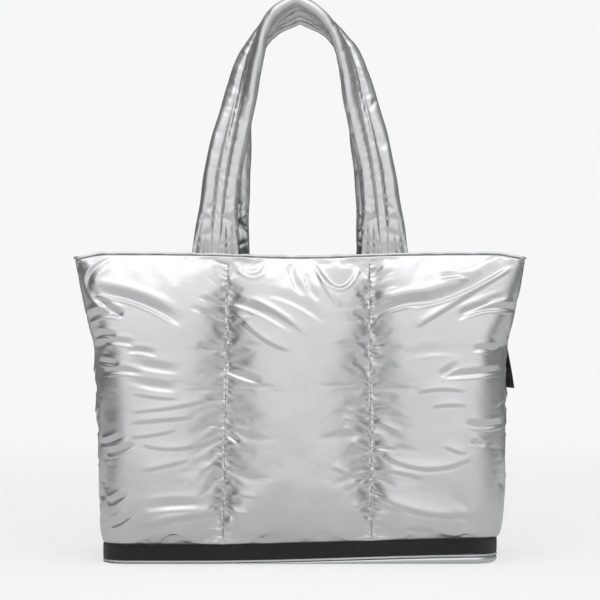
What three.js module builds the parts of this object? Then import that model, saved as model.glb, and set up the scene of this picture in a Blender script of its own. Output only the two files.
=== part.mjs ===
// Padded laptop tote, standing on the XY plane with its pictured face towards -Y.
// Millimetres, +Z up, origin on the floor under the middle of the bag.
// Each wall of the bag is one padded panel; a wall is a box of vertices that is laid on the bag's outline.
import * as THREE from "three";
import { mergeVertices } from "three/addons/utils/BufferGeometryUtils.js";

// Outline of the bag
const HEM_WIDTH = 444;
const BASE_WIDTH = 386;
const HEM_DEPTH = 104;
const BASE_DEPTH = 152;
const BODY_HEIGHT = 303;
const CORNER_RADIUS = 27;
const GUSSET_FOLD = 46;
const BODY_SWAY = 2.5;

// Padded walls
const WALL = 3;
const SEAM_GAP = 0.3;
const PANEL_PUFF = 15;
const GUSSET_PUFF = 8;
const FOLD_RISE = 5;
const LEFT_SEAM_TOP = -70;
const LEFT_SEAM_FOOT = -75;
const RIGHT_SEAM_TOP = 68;
const RIGHT_SEAM_FOOT = 69;

// Hem round the mouth, band and piping round the foot
const HEM_HEIGHT = 5;
const HEM_THICKNESS = 4;
const BAND_HEIGHT = 15;
const BAND_THICKNESS = 2.4;
const PIPING_DIAMETER = 2.2;
const RIM_HEIGHT = 1.2;
const RIM_LIFT = 6;
const FLOOR_THICKNESS = 10;
const HEM_ROLL = 0.8;
const HEM_PROUD = 0.4;
const BASE_ROUNDING = 6;
const BASE_INSET = 0.8;

// Carrying handles
const STRAP_WIDTH = 46;
const STRAP_THICKNESS = 13;
const STRAP_SPREAD = 83;
const STRAP_RISE = 249;
const STRAP_TAIL = 28;
const STRAP_APEX_SPACING = 46;
const STRAP_APEX_SWAY = -4;
const BACK_STRAP_RISE = 244;
const BACK_STRAP_TUCK = 5.5;
const BACK_STRAP_SHIFT = 3;
const BACK_STRAP_SPLAY = 4;

// Black webbing tab on the gusset towards +X
const TAB_LENGTH = 40;
const TAB_WIDTH = 20;
const TAB_THICKNESS = 1.6;
const TAB_TOP = 208;
const TAB_SWING = 4;
const TAB_TWIST = THREE.MathUtils.degToRad(17);
const TAB_CUTS = 4;

// How finely the faceted solids are cut
const ROWS = 20;
const FRONT_COLUMN_CUTS = 12;
const BACK_COLUMN_CUTS = 8;
const GUSSET_CUTS = 8;
const STRAIGHT_CUTS = 8;
const CORNER_CUTS = 3;
const STRAP_CUTS = 36;
const PIPING_SIDES = 6;

// Sections of the bag from the foot to the hem. up: share of the height, flare: from base width to hem width,
// lean: from base depth to hem depth, round: share of the corner radius, tuck: share of the gusset's fold,
// sway: share of the body's sway towards +X.
const SECTIONS = [
  { up: 0.0, flare: 0.0, lean: 0.0, round: 1.0, tuck: 0.0, sway: 0.0 },
  { up: 0.08, flare: 0.0, lean: 0.02, round: 1.0, tuck: 0.0, sway: 0.5 },
  { up: 0.3, flare: 0.05, lean: 0.14, round: 1.0, tuck: 0.0, sway: 0.85 },
  { up: 0.55, flare: 0.14, lean: 0.36, round: 0.95, tuck: 0.0, sway: 0.4 },
  { up: 0.68, flare: 0.22, lean: 0.52, round: 0.82, tuck: 0.05, sway: 0.3 },
  { up: 0.78, flare: 0.47, lean: 0.66, round: 0.6, tuck: 0.28, sway: 0.1 },
  { up: 0.88, flare: 0.73, lean: 0.82, round: 0.35, tuck: 0.62, sway: 0.15 },
  { up: 1.0, flare: 1.0, lean: 1.0, round: 0.0, tuck: 1.0, sway: 0.0 },
];

// Main folds of the pictured face. Ends are shares of the half hem width and of the body height,
// bow is how far the middle bends up, broad and rise are shares of the body height and of FOLD_RISE.
const FOLDS = [
  { fromX: -0.94, fromUp: 0.85, toX: -0.55, toUp: 0.74, bow: 0.012, broad: 0.03, rise: -1.0 },
  { fromX: -0.97, fromUp: 0.74, toX: -0.78, toUp: 0.76, bow: 0.02, broad: 0.028, rise: -1.0 },
  { fromX: -0.92, fromUp: 0.6, toX: -0.68, toUp: 0.61, bow: 0.0, broad: 0.03, rise: -0.7 },
  { fromX: -0.72, fromUp: 0.4, toX: -0.34, toUp: 0.41, bow: -0.02, broad: 0.04, rise: 0.6 },
  { fromX: -0.74, fromUp: 0.14, toX: -0.34, toUp: 0.2, bow: -0.015, broad: 0.045, rise: 0.8 },
  { fromX: 0.32, fromUp: 0.78, toX: 0.93, toUp: 0.97, bow: 0.02, broad: 0.045, rise: -1.0 },
  { fromX: 0.64, fromUp: 0.76, toX: 0.94, toUp: 0.81, bow: 0.012, broad: 0.03, rise: -0.9 },
  { fromX: 0.6, fromUp: 0.6, toX: 0.9, toUp: 0.62, bow: 0.01, broad: 0.035, rise: -0.7 },
  { fromX: 0.36, fromUp: 0.34, toX: 0.72, toUp: 0.34, bow: -0.05, broad: 0.035, rise: 0.7 },
  { fromX: 0.35, fromUp: 0.22, toX: 0.78, toUp: 0.17, bow: -0.04, broad: 0.04, rise: 0.7 },
  { fromX: -0.31, fromUp: 0.84, toX: 0.0, toUp: 0.73, bow: 0.02, broad: 0.04, rise: -0.6 },
  { fromX: 0.1, fromUp: 0.96, toX: 0.28, toUp: 0.9, bow: -0.05, broad: 0.05, rise: -0.8 },
];

// Half of a handle from its hidden tail to its apex. rise: share of the handle's rise, reach: share of
// STRAP_SPREAD, wide and thick: shares of the strap's width and thickness, turn and backTurn: share of a
// quarter turn of the front and the back handle about their own lines.
const STRAP_SECTIONS = [
  { rise: 0.0, reach: 1.0, wide: 1.0, thick: 0.36, turn: 0.0, backTurn: 0.0 },
  { rise: 0.05, reach: 0.992, wide: 0.95, thick: 0.75, turn: 0.0, backTurn: 0.0 },
  { rise: 0.2, reach: 0.955, wide: 0.84, thick: 1.0, turn: 0.0, backTurn: 0.0 },
  { rise: 0.36, reach: 0.89, wide: 0.8, thick: 1.0, turn: 0.05, backTurn: 0.1 },
  { rise: 0.6, reach: 0.722, wide: 0.79, thick: 1.0, turn: 0.3, backTurn: 0.5 },
  { rise: 0.72, reach: 0.64, wide: 0.79, thick: 1.0, turn: 0.48, backTurn: 0.7 },
  { rise: 0.8, reach: 0.563, wide: 0.79, thick: 0.96, turn: 0.65, backTurn: 0.82 },
  { rise: 0.88, reach: 0.44, wide: 0.78, thick: 0.94, turn: 0.88, backTurn: 0.92 },
  { rise: 0.945, reach: 0.285, wide: 0.78, thick: 0.92, turn: 1.0, backTurn: 0.88 },
  { rise: 0.985, reach: 0.12, wide: 0.78, thick: 0.9, turn: 1.0, backTurn: 0.76 },
  { rise: 1.0, reach: 0.0, wide: 0.78, thick: 0.9, turn: 1.0, backTurn: 0.74 },
];

// Section across a strap: two stuffed tubes with a stitched channel between them.
const STRAP_PROFILE = [
  { across: -1.0, half: 0.22 },
  { across: -0.86, half: 0.74 },
  { across: -0.56, half: 1.0 },
  { across: -0.26, half: 0.74 },
  { across: -0.13, half: 0.3 },
  { across: 0.0, half: 0.42 },
  { across: 0.13, half: 0.3 },
  { across: 0.26, half: 0.74 },
  { across: 0.56, half: 1.0 },
  { across: 0.86, half: 0.74 },
  { across: 1.0, half: 0.22 },
];

// Reads a column of a table at a place between its rows, on a smooth curve through them.
function readTable(table, key, column, at) {
  let row = 0;
  while (row < table.length - 2 && at > table[row + 1][key]) row += 1;
  const slope = (index) => {
    const before = table[Math.max(index - 1, 0)];
    const after = table[Math.min(index + 1, table.length - 1)];
    return (after[column] - before[column]) / (after[key] - before[key]);
  };
  const low = table[row];
  const high = table[row + 1];
  const span = high[key] - low[key];
  const share = THREE.MathUtils.clamp((at - low[key]) / span, 0, 1);
  const square = share * share;
  const cube = square * share;
  return (
    (2 * cube - 3 * square + 1) * low[column] +
    (cube - 2 * square + share) * span * slope(row) +
    (3 * square - 2 * cube) * high[column] +
    (cube - square) * span * slope(row + 1)
  );
}

// Half width, half depth, corner radius, gusset fold and sideways sway at a height above the floor.
function sectionAt(height) {
  const up = THREE.MathUtils.clamp(height / BODY_HEIGHT, 0, 1);
  const read = (column) => readTable(SECTIONS, "up", column, up);
  const tightCorner = HEM_THICKNESS + 2;
  return {
    halfWidth: THREE.MathUtils.lerp(BASE_WIDTH, HEM_WIDTH, read("flare")) / 2,
    halfDepth: THREE.MathUtils.lerp(BASE_DEPTH, HEM_DEPTH, read("lean")) / 2,
    radius: THREE.MathUtils.lerp(tightCorner, CORNER_RADIUS, read("round")),
    fold: GUSSET_FOLD * read("tuck"),
    sway: BODY_SWAY * read("sway"),
  };
}

// Height of the base rim, which the bag's sag lifts towards +X.
function rimTop(x) {
  const share = THREE.MathUtils.smoothstep(x, -BASE_WIDTH / 4, BASE_WIDTH / 2);
  return RIM_HEIGHT + RIM_LIFT * share;
}

const pipingCentre = (x) => rimTop(x) + SEAM_GAP + PIPING_DIAMETER / 2;
const bandFoot = (x) => pipingCentre(x) + PIPING_DIAMETER / 2 + SEAM_GAP;
const bandTop = (x) => bandFoot(x) + BAND_HEIGHT;
const hemFoot = BODY_HEIGHT - HEM_HEIGHT;

// A point on the quarter of the outline towards +X and -Y, at an arc length from the middle of the front.
// Past the corner the point runs on along the gusset. normalX and normalY face out of the bag.
function outlinePoint(section, length) {
  const { halfWidth, halfDepth, radius } = section;
  const straight = halfWidth - radius;
  const arc = (Math.PI / 2) * radius;
  if (length <= straight) return { x: length, y: -halfDepth, normalX: 0, normalY: -1 };
  const angle = Math.min((length - straight) / radius, Math.PI / 2);
  const beyond = Math.max(length - straight - arc, 0);
  return {
    x: straight + radius * Math.sin(angle),
    y: -halfDepth + radius * (1 - Math.cos(angle)) + beyond,
    normalX: Math.sin(angle),
    normalY: -Math.cos(angle),
  };
}

const frontLength = (section) => section.halfWidth - section.radius + (Math.PI / 2) * section.radius;

// Swell of a padded wall between its top and bottom seams.
function riseProfile(share) {
  const foot = Math.min(share / 0.14, 1);
  const head = Math.min((1 - share) / 0.24, 1);
  return Math.sqrt(Math.max(foot * (2 - foot), 0) * Math.max(head * (2 - head), 0));
}

const columnProfile = (share) => Math.pow(Math.max(4 * share * (1 - share), 0), 0.55);

// Height of the charted folds at a place on the pictured face.
function foldHeight(x, height) {
  const bell = (distance, breadth) => Math.exp(-((distance / breadth) ** 2));
  let sum = 0;
  for (const fold of FOLDS) {
    const start = new THREE.Vector2((fold.fromX * HEM_WIDTH) / 2, fold.fromUp * BODY_HEIGHT);
    const end = new THREE.Vector2((fold.toX * HEM_WIDTH) / 2, fold.toUp * BODY_HEIGHT);
    const line = end.clone().sub(start);
    const place = new THREE.Vector2(x, height).sub(start);
    const along = place.dot(line) / line.lengthSq();
    if (along <= 0 || along >= 1) continue;
    const bow = fold.bow * BODY_HEIGHT * 4 * along * (1 - along);
    const off = line.cross(place) / line.length() - bow;
    const broad = fold.broad * BODY_HEIGHT;
    const lips = bell(Math.abs(off) - 1.7 * broad, broad);
    const taper = Math.sin(Math.PI * along) ** 0.7;
    sum += FOLD_RISE * fold.rise * taper * (bell(off, broad) - 0.4 * lips);
  }
  return sum;
}

// Places each vertex of a segmented box by its shares across, up and out, and closes the result.
function laidBox(across, up, place, out = 1) {
  const box = new THREE.BoxGeometry(1, 1, 1, across, up, out);
  const position = box.getAttribute("position");
  for (let i = 0; i < position.count; i += 1) {
    const column = Math.round((position.getX(i) + 0.5) * across);
    const row = Math.round((position.getY(i) + 0.5) * up);
    position.setXYZ(i, ...place(column, row, position.getZ(i) + 0.5));
  }
  return closed(box);
}

// Places each vertex of a lathed ring by its station round the loop and its point of the profile.
function laidRing(stations, profile, place) {
  const points = profile.map((_, index) => new THREE.Vector2(1, index));
  const ring = new THREE.LatheGeometry(points, stations);
  const position = ring.getAttribute("position");
  for (let i = 0; i < position.count; i += 1) {
    const station = Math.floor(i / profile.length) % stations;
    position.setXYZ(i, ...place(station, profile[i % profile.length]));
  }
  return closed(ring);
}

function closed(geometry) {
  geometry.deleteAttribute("normal");
  geometry.deleteAttribute("uv");
  const merged = mergeVertices(geometry, 1e-3);
  const corners = merged.index.array;
  const kept = [];
  for (let i = 0; i < corners.length; i += 3) {
    const [a, b, c] = corners.slice(i, i + 3);
    if (a !== b && b !== c && c !== a) kept.push(a, b, c);
  }
  merged.setIndex(kept);
  merged.computeVertexNormals();
  return merged;
}

// Shares from 0 to 1 that lie closer together towards both ends.
function easedShare(index, count) {
  const even = index / count;
  return 0.55 * even + 0.45 * (0.5 - 0.5 * Math.cos(Math.PI * even));
}

// Front wall in three columns. Mirrored over Y it is the back wall, without the charted folds.
function panelGeometry(columnCuts, folded) {
  const place = (column, row, out) => {
    const up = easedShare(row, ROWS);
    const which = Math.min(Math.floor(column / columnCuts), 2);
    const share = easedShare(column - which * columnCuts, columnCuts);
    const section = sectionAt(THREE.MathUtils.lerp(BAND_HEIGHT, hemFoot, up));
    const leftSeam = THREE.MathUtils.lerp(LEFT_SEAM_FOOT, LEFT_SEAM_TOP, up);
    const rightSeam = THREE.MathUtils.lerp(RIGHT_SEAM_FOOT, RIGHT_SEAM_TOP, up);
    const reach = frontLength(section);
    const edges = [-reach, leftSeam, rightSeam, reach];
    const length = THREE.MathUtils.lerp(edges[which], edges[which + 1], share);
    const side = length < 0 ? -1 : 1;
    const base = outlinePoint(section, Math.abs(length));
    const foot = bandTop(side * base.x) + SEAM_GAP;
    const height = THREE.MathUtils.lerp(foot, hemFoot - SEAM_GAP, up);
    const swell = columnProfile(share) * riseProfile(up);
    const folds = folded ? foldHeight(side * base.x, height) * Math.min(1, swell * 1.4) : 0;
    const offset = out * (PANEL_PUFF * swell + folds) - (1 - out) * WALL;
    const x = side * (base.x + base.normalX * offset) + section.sway;
    return [x, base.y + base.normalY * offset, height];
  };
  return laidBox(3 * columnCuts, ROWS, place);
}

// Outside of a gusset at shares across (-1 front seam, 1 back seam) and height, as if it faced +X.
function gussetFace(across, height, up, sign) {
  const section = sectionAt(height);
  const swell = Math.pow(1 - across * across, 0.55) * riseProfile(up);
  const fold = section.fold * (1 - Math.abs(across));
  const firm = 1 - (0.8 * section.fold) / GUSSET_FOLD;
  return {
    x: section.halfWidth + GUSSET_PUFF * swell * firm - fold + sign * section.sway,
    y: across * (section.halfDepth - section.radius - SEAM_GAP),
  };
}

// The sign is that of the gusset's side, because the foot of the bag sags on one side alone.
function gussetGeometry(sign) {
  const foot = bandTop((sign * BASE_WIDTH) / 2) + SEAM_GAP;
  const place = (column, row, out) => {
    const up = easedShare(row, ROWS);
    const across = (2 * column) / GUSSET_CUTS - 1;
    const level = THREE.MathUtils.lerp(BAND_HEIGHT, hemFoot, up);
    const section = sectionAt(level);
    const face = gussetFace(across, level, up, sign);
    const inner = section.halfWidth - section.fold * (1 - Math.abs(across)) - WALL + sign * section.sway;
    const height = THREE.MathUtils.lerp(foot, hemFoot - SEAM_GAP, up);
    return [THREE.MathUtils.lerp(inner, face.x, out), face.y, height];
  };
  return laidBox(GUSSET_CUTS, ROWS, place);
}

// Stations round the whole outline, as arc lengths on one quarter with the signs of that quarter.
function loopStations() {
  const stations = [];
  const quarter = [];
  const cut = (part, count) => {
    for (let i = 0; i < count; i += 1) quarter.push({ part, share: i / count });
  };
  cut("straight", STRAIGHT_CUTS / 2);
  cut("corner", CORNER_CUTS);
  cut("gusset", GUSSET_CUTS / 2);
  const back = [{ part: "gusset", share: 1 }, ...quarter.slice(1).reverse()];
  const add = (list, signX, signY) => list.forEach((s) => stations.push({ ...s, signX, signY }));
  add(quarter, 1, 1);
  add(back, 1, -1);
  add(quarter, -1, -1);
  add(back, -1, 1);
  return stations;
}

const LOOP = loopStations();

// A point of the outline at a station, moved out of the bag by an offset.
function loopPoint(station, section, offset) {
  const { halfWidth, halfDepth, radius, fold } = section;
  let point;
  if (station.part === "gusset") {
    const inward = fold * station.share;
    point = {
      x: halfWidth - inward + offset,
      y: -(halfDepth - radius) * (1 - station.share),
    };
  } else {
    const straight = halfWidth - radius;
    const arc = (Math.PI / 2) * radius;
    const corner = station.part === "corner";
    const base = outlinePoint(section, corner ? straight + station.share * arc : station.share * straight);
    point = { x: base.x + base.normalX * offset, y: base.y + base.normalY * offset };
  }
  return [station.signX * point.x, station.signY * point.y];
}

// Folded hem round the mouth.
function hemGeometry() {
  const inner = -HEM_THICKNESS;
  const profile = [
    { offset: HEM_PROUD, share: 0 },
    { offset: HEM_PROUD, share: 0.75 },
    { offset: -HEM_ROLL, share: 1 },
    { offset: inner + HEM_ROLL, share: 1 },
    { offset: inner, share: 0.75 },
    { offset: inner, share: 0 },
    { offset: HEM_PROUD, share: 0 },
  ];
  const section = sectionAt(BODY_HEIGHT);
  return laidRing(LOOP.length, profile, (index, point) => {
    const [x, y] = loopPoint(LOOP[index], section, point.offset);
    return [x, y, hemFoot + point.share * HEM_HEIGHT];
  });
}

// Black band round the foot.
function bandGeometry() {
  const profile = [
    { offset: 0, share: 0 },
    { offset: 0, share: 1 },
    { offset: -BAND_THICKNESS, share: 1 },
    { offset: -BAND_THICKNESS, share: 0 },
    { offset: 0, share: 0 },
  ];
  const section = sectionAt(0);
  return laidRing(LOOP.length, profile, (index, point) => {
    const [x, y] = loopPoint(LOOP[index], section, point.offset);
    return [x, y, bandFoot(x) + point.share * BAND_HEIGHT];
  });
}

// Corded piping between the band and the base.
function pipingGeometry() {
  const profile = [];
  for (let side = 0; side <= PIPING_SIDES; side += 1) {
    profile.push({ angle: (2 * Math.PI * (side % PIPING_SIDES)) / PIPING_SIDES });
  }
  const section = sectionAt(0);
  const radius = PIPING_DIAMETER / 2;
  return laidRing(LOOP.length, profile, (index, point) => {
    const offset = radius * (Math.cos(point.angle) - 0.8);
    const [x, y] = loopPoint(LOOP[index], section, offset);
    return [x, y, pipingCentre(x) + radius * Math.sin(point.angle)];
  });
}

// Padded base: flat underneath, with a rim below the piping and a step up inside the band.
function baseGeometry() {
  const step = -(Math.max(BAND_THICKNESS, PIPING_DIAMETER) + 2 * SEAM_GAP);
  const profile = [
    { inward: true, low: 0, floor: 0 },
    { offset: -BASE_ROUNDING, low: 0, floor: 0 },
    { offset: -BASE_INSET, low: 0.5, floor: 0 },
    { offset: -BASE_INSET, low: 1, floor: 0 },
    { offset: step, low: 1, floor: 0 },
    { offset: step, low: 1, floor: 1 },
    { inward: true, low: 1, floor: 1 },
  ];
  const section = sectionAt(0);
  return laidRing(LOOP.length, profile, (index, point) => {
    const [x, y] = point.inward ? [0, 0] : loopPoint(LOOP[index], section, point.offset);
    return [x, y, THREE.MathUtils.lerp(point.low * rimTop(x), FLOOR_THICKNESS, point.floor)];
  });
}

// The two handles. sway: how far the apex stands aside, shift and tuck: how far the legs stand aside and
// inward at the hem, splay: how far they bow out below the apex, turn: the column of turns.
const FRONT_STRAP = { rise: STRAP_RISE, sway: STRAP_APEX_SWAY, shift: 0, tuck: 0, splay: 0, turn: "turn" };
const BACK_STRAP = {
  rise: BACK_STRAP_RISE,
  sway: 0,
  shift: BACK_STRAP_SHIFT,
  tuck: BACK_STRAP_TUCK,
  splay: BACK_STRAP_SPLAY,
  turn: "backTurn",
};

// Line of a handle from one tail to the other, with the tails behind the hem.
function strapLine(handle) {
  const tailY = -(HEM_DEPTH / 2 - HEM_THICKNESS - SEAM_GAP - (STRAP_THICKNESS * 0.36) / 2);
  const points = STRAP_SECTIONS.map((row) => {
    const lean = THREE.MathUtils.smoothstep(row.rise, 0.02, 1);
    const y = THREE.MathUtils.lerp(tailY, -STRAP_APEX_SPACING / 2, lean);
    return new THREE.Vector3(-row.reach * STRAP_SPREAD, y, BODY_HEIGHT + row.rise * handle.rise);
  });
  const sway = (point) => {
    const rise = (point.z - BODY_HEIGHT) / handle.rise;
    const side = Math.sign(point.x);
    const low = 1 - THREE.MathUtils.smoothstep(rise, 0.15, 0.65);
    const high = THREE.MathUtils.smoothstep(rise, 0.3, 0.65) - THREE.MathUtils.smoothstep(rise, 0.9, 1);
    point.x += low * (handle.shift - side * handle.tuck) + high * side * handle.splay;
    point.x += handle.sway * THREE.MathUtils.smoothstep(rise, 0.8, 1);
    return point;
  };
  const tail = new THREE.Vector3(-STRAP_SPREAD, tailY, BODY_HEIGHT - STRAP_TAIL);
  const leftHalf = [tail, ...points];
  const rightHalf = leftHalf.slice(0, -1).reverse();
  const mirrored = rightHalf.map((p) => new THREE.Vector3(-p.x, p.y, p.z));
  return new THREE.CatmullRomCurve3([...leftHalf, ...mirrored].map(sway), false, "centripetal");
}

// A stuffed strap that turns on its way up, so that it lies flat over a hand at its apex.
function strapGeometry(handle) {
  const line = strapLine(handle);
  const away = new THREE.Vector3(0, -1, 0);
  const tail = (STRAP_TAIL + 2 * SEAM_GAP) / line.getLength();
  const place = (column, row, out) => {
    const even = THREE.MathUtils.mapLinear(row, 1, STRAP_CUTS - 1, tail, 1 - tail);
    const share = THREE.MathUtils.clamp(row === 0 ? 0 : row === STRAP_CUTS ? 1 : even, 0, 1);
    const centre = line.getPointAt(share);
    const tangent = line.getTangentAt(share);
    const rise = Math.max((centre.z - BODY_HEIGHT) / handle.rise, 0);
    const read = (name) => readTable(STRAP_SECTIONS, "rise", name, rise);
    const normal = away.clone().addScaledVector(tangent, -away.dot(tangent)).normalize();
    normal.applyAxisAngle(tangent, (-Math.PI / 2) * read(handle.turn));
    const across = new THREE.Vector3().crossVectors(tangent, normal);
    const profile = STRAP_PROFILE[column];
    const halfWidth = (STRAP_WIDTH / 2) * read("wide");
    const halfThickness = (STRAP_THICKNESS / 2) * read("thick") * profile.half;
    const point = centre.addScaledVector(across, profile.across * halfWidth);
    point.addScaledVector(normal, (2 * out - 1) * halfThickness);
    return point.toArray();
  };
  return laidBox(STRAP_PROFILE.length - 1, STRAP_CUTS, place);
}

// Webbing tab sewn to the gusset by its top edge; its free end swings out and turns.
function tabGeometry() {
  const place = (column, row, out) => {
    const hang = 1 - row / TAB_CUTS;
    const across = (column / TAB_CUTS - 0.5) * TAB_WIDTH;
    const angle = TAB_TWIST * hang;
    const thickness = (out - 0.5) * TAB_THICKNESS;
    const height = TAB_TOP - hang * TAB_LENGTH;
    const seat = gussetFace(0, height, height / BODY_HEIGHT, 1).x + 2 * SEAM_GAP;
    const x = seat + TAB_THICKNESS / 2 + TAB_SWING * hang;
    return [
      x - across * Math.sin(angle) + thickness * Math.cos(angle),
      across * Math.cos(angle) + thickness * Math.sin(angle),
      height,
    ];
  };
  return laidBox(TAB_CUTS, TAB_CUTS, place);
}

const silverNylon = new THREE.MeshStandardMaterial({ color: 0xc9cacc, roughness: 0.35, metalness: 0.8 });
const silverPiping = new THREE.MeshStandardMaterial({ color: 0xd4d4d6, roughness: 0.4, metalness: 0.6 });
const blackWebbing = new THREE.MeshStandardMaterial({ color: 0x1a1a1b, roughness: 0.75, metalness: 0.0 });

const tote = new THREE.Group();

function add(name, geometry, material, mirror = [1, 1]) {
  const mesh = new THREE.Mesh(geometry, material.clone());
  mesh.name = name;
  mesh.scale.set(mirror[0], mirror[1], 1);
  tote.add(mesh);
}

add("front_panel", panelGeometry(FRONT_COLUMN_CUTS, true), silverNylon);
add("back_panel", panelGeometry(BACK_COLUMN_CUTS, false), silverNylon, [1, -1]);
add("right_gusset", gussetGeometry(1), silverNylon);
add("left_gusset", gussetGeometry(-1), silverNylon, [-1, 1]);
add("top_hem", hemGeometry(), silverNylon);
add("base_band", bandGeometry(), blackWebbing);
add("base_piping", pipingGeometry(), silverPiping);
add("base_panel", baseGeometry(), silverNylon);
add("front_handle", strapGeometry(FRONT_STRAP), silverNylon);
add("back_handle", strapGeometry(BACK_STRAP), silverNylon, [1, -1]);
add("side_tab", tabGeometry(), blackWebbing);

export default tote;
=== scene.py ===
# %% [markdown]
# # A padded silver laptop tote
# The bag is a soft box: four padded walls, a padded base, a folded hem, a black band round the foot
# and two stuffed handles. The frame gives the place and size of every piece. Each soft piece is then
# made again here with real puff, puckers and folds, and it replaces the plain solid of the frame.

# %% Load the frame
import math
import random
import bmesh
import bpy
import numpy as np
from mathutils import Matrix, Vector
from mathutils.bvhtree import BVHTree


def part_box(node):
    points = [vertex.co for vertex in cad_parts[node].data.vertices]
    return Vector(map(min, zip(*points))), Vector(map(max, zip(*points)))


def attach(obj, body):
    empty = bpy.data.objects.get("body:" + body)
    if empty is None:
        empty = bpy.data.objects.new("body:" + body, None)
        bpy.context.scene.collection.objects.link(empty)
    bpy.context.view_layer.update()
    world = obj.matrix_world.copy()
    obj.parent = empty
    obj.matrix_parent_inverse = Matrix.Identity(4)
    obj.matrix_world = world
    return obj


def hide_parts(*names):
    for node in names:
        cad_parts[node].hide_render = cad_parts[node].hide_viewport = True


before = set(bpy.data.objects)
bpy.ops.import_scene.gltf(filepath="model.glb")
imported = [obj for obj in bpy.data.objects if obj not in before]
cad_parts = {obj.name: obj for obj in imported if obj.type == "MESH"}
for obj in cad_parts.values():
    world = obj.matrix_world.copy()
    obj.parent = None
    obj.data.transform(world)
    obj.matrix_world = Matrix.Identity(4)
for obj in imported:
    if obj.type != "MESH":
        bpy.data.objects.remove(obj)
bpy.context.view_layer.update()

print("nodes in the frame:", len(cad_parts))

# %% [markdown]
# ## Sizes
# Blender works in metres, but a bag is easier to think of in millimetres, so every shape is worked
# out in millimetres and scaled once. The widths and heights are read from the frame's boxes. Only
# sizes that a box can't tell, such as a corner's radius, are written down here.

# %% Sizes of the bag
MM = 0.001


def box_mm(node):
    low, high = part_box(node)
    return Vector(low) / MM, Vector(high) / MM


hem_low, hem_high = box_mm("top_hem")
band_low, band_high = box_mm("base_band")
HEM_PROUD = 0.4
HEM_WIDTH = hem_high.x - hem_low.x - 2 * HEM_PROUD
HEM_DEPTH = hem_high.y - hem_low.y - 2 * HEM_PROUD
BODY_HEIGHT = hem_high.z
HEM_FOOT = hem_low.z
HEM_SHOWS = 2.6
BASE_WIDTH = band_high.x - band_low.x
BASE_DEPTH = band_high.y - band_low.y
CORNER_RADIUS = 32
TIGHT_CORNER = 7
GUSSET_FOLD = 46
BODY_SWAY = 2.5
WALL = 3
SEAM_GAP = 0.3
PANEL_PUFF = 15
GUSSET_PUFF = 8
LEFT_SEAM = (-75, -70)
RIGHT_SEAM = (69, 68)
print(f"mouth {HEM_WIDTH:.0f} x {HEM_DEPTH:.0f} mm, base {BASE_WIDTH:.0f} x {BASE_DEPTH:.0f} mm")

# %% [markdown]
# ## Camera
# The photograph looks straight at the front of the bag from about two metres, with the lens level at
# the middle of the picture. The frame's width at the front face gives the focal length.

# %% Camera
PICTURE_WIDTH = 576 * MM
CAMERA_DISTANCE = 2.0
FRONT_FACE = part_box("front_panel")[0][1]
EYE_HEIGHT = 256 * MM
EYE_SIDE = 0.0

camera_data = bpy.data.cameras.new("camera")
camera_data.sensor_width = 36
camera_data.lens = 36 * CAMERA_DISTANCE / PICTURE_WIDTH
camera = bpy.data.objects.new("camera", camera_data)
camera.location = (EYE_SIDE, FRONT_FACE - CAMERA_DISTANCE, EYE_HEIGHT)
camera.rotation_euler = (math.pi / 2, 0, 0)
bpy.context.scene.collection.objects.link(camera)
bpy.context.scene.camera = camera
print(f"lens {camera_data.lens:.0f} mm")

# %% [markdown]
# ## The outline of the bag
# A few level sections say how the bag changes from its foot to its mouth: how wide and deep it is,
# how round its corners are, and how far its sides fold in. A smooth curve through the rows of the
# table gives every height between them.

# %% Sections
SECTIONS = [
    dict(up=0.0, flare=0.0, lean=0.0, round=1.0, tuck=0.0, sway=0.0),
    dict(up=0.08, flare=0.0, lean=0.02, round=1.0, tuck=0.0, sway=0.5),
    dict(up=0.3, flare=0.05, lean=0.14, round=1.0, tuck=0.0, sway=0.85),
    dict(up=0.55, flare=0.14, lean=0.36, round=0.95, tuck=0.0, sway=0.4),
    dict(up=0.68, flare=0.22, lean=0.52, round=0.82, tuck=0.05, sway=0.3),
    dict(up=0.78, flare=0.47, lean=0.66, round=0.6, tuck=0.28, sway=0.1),
    dict(up=0.88, flare=0.73, lean=0.82, round=0.35, tuck=0.62, sway=0.15),
    dict(up=1.0, flare=1.0, lean=1.0, round=0.0, tuck=1.0, sway=0.0),
]


def read_table(rows, key, column, at):
    keys = np.array([row[key] for row in rows], float)
    values = np.array([row[column] for row in rows], float)
    index = np.arange(len(rows))
    before, after = np.maximum(index - 1, 0), np.minimum(index + 1, len(rows) - 1)
    slopes = (values[after] - values[before]) / (keys[after] - keys[before])
    row = np.clip(np.searchsorted(keys, at) - 1, 0, len(rows) - 2)
    span = keys[row + 1] - keys[row]
    share = np.clip((at - keys[row]) / span, 0, 1)
    square, cube = share**2, share**3
    low = (2 * cube - 3 * square + 1) * values[row] + (cube - 2 * square + share) * span * slopes[row]
    high = (3 * square - 2 * cube) * values[row + 1] + (cube - square) * span * slopes[row + 1]
    return low + high


def mix(low, high, share):
    return low + (high - low) * share


def smoothstep(low, high, at):
    share = np.clip((at - low) / (high - low), 0, 1)
    return share * share * (3 - 2 * share)


def section_at(height):
    up = np.clip(height / BODY_HEIGHT, 0, 1)
    return dict(
        half_width=mix(BASE_WIDTH, HEM_WIDTH, read_table(SECTIONS, "up", "flare", up)) / 2,
        half_depth=mix(BASE_DEPTH, HEM_DEPTH, read_table(SECTIONS, "up", "lean", up)) / 2,
        radius=mix(TIGHT_CORNER, CORNER_RADIUS, read_table(SECTIONS, "up", "round", up)),
        fold=GUSSET_FOLD * read_table(SECTIONS, "up", "tuck", up),
        sway=BODY_SWAY * read_table(SECTIONS, "up", "sway", up),
    )


print(f"half width at mid height {float(section_at(np.array(150.0))['half_width']):.0f} mm")

# %% [markdown]
# The foot of the bag sags on one side, so the band climbs a little towards +X. The mouth sags too,
# between the handles and at its corners. Both are short functions of x.

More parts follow.
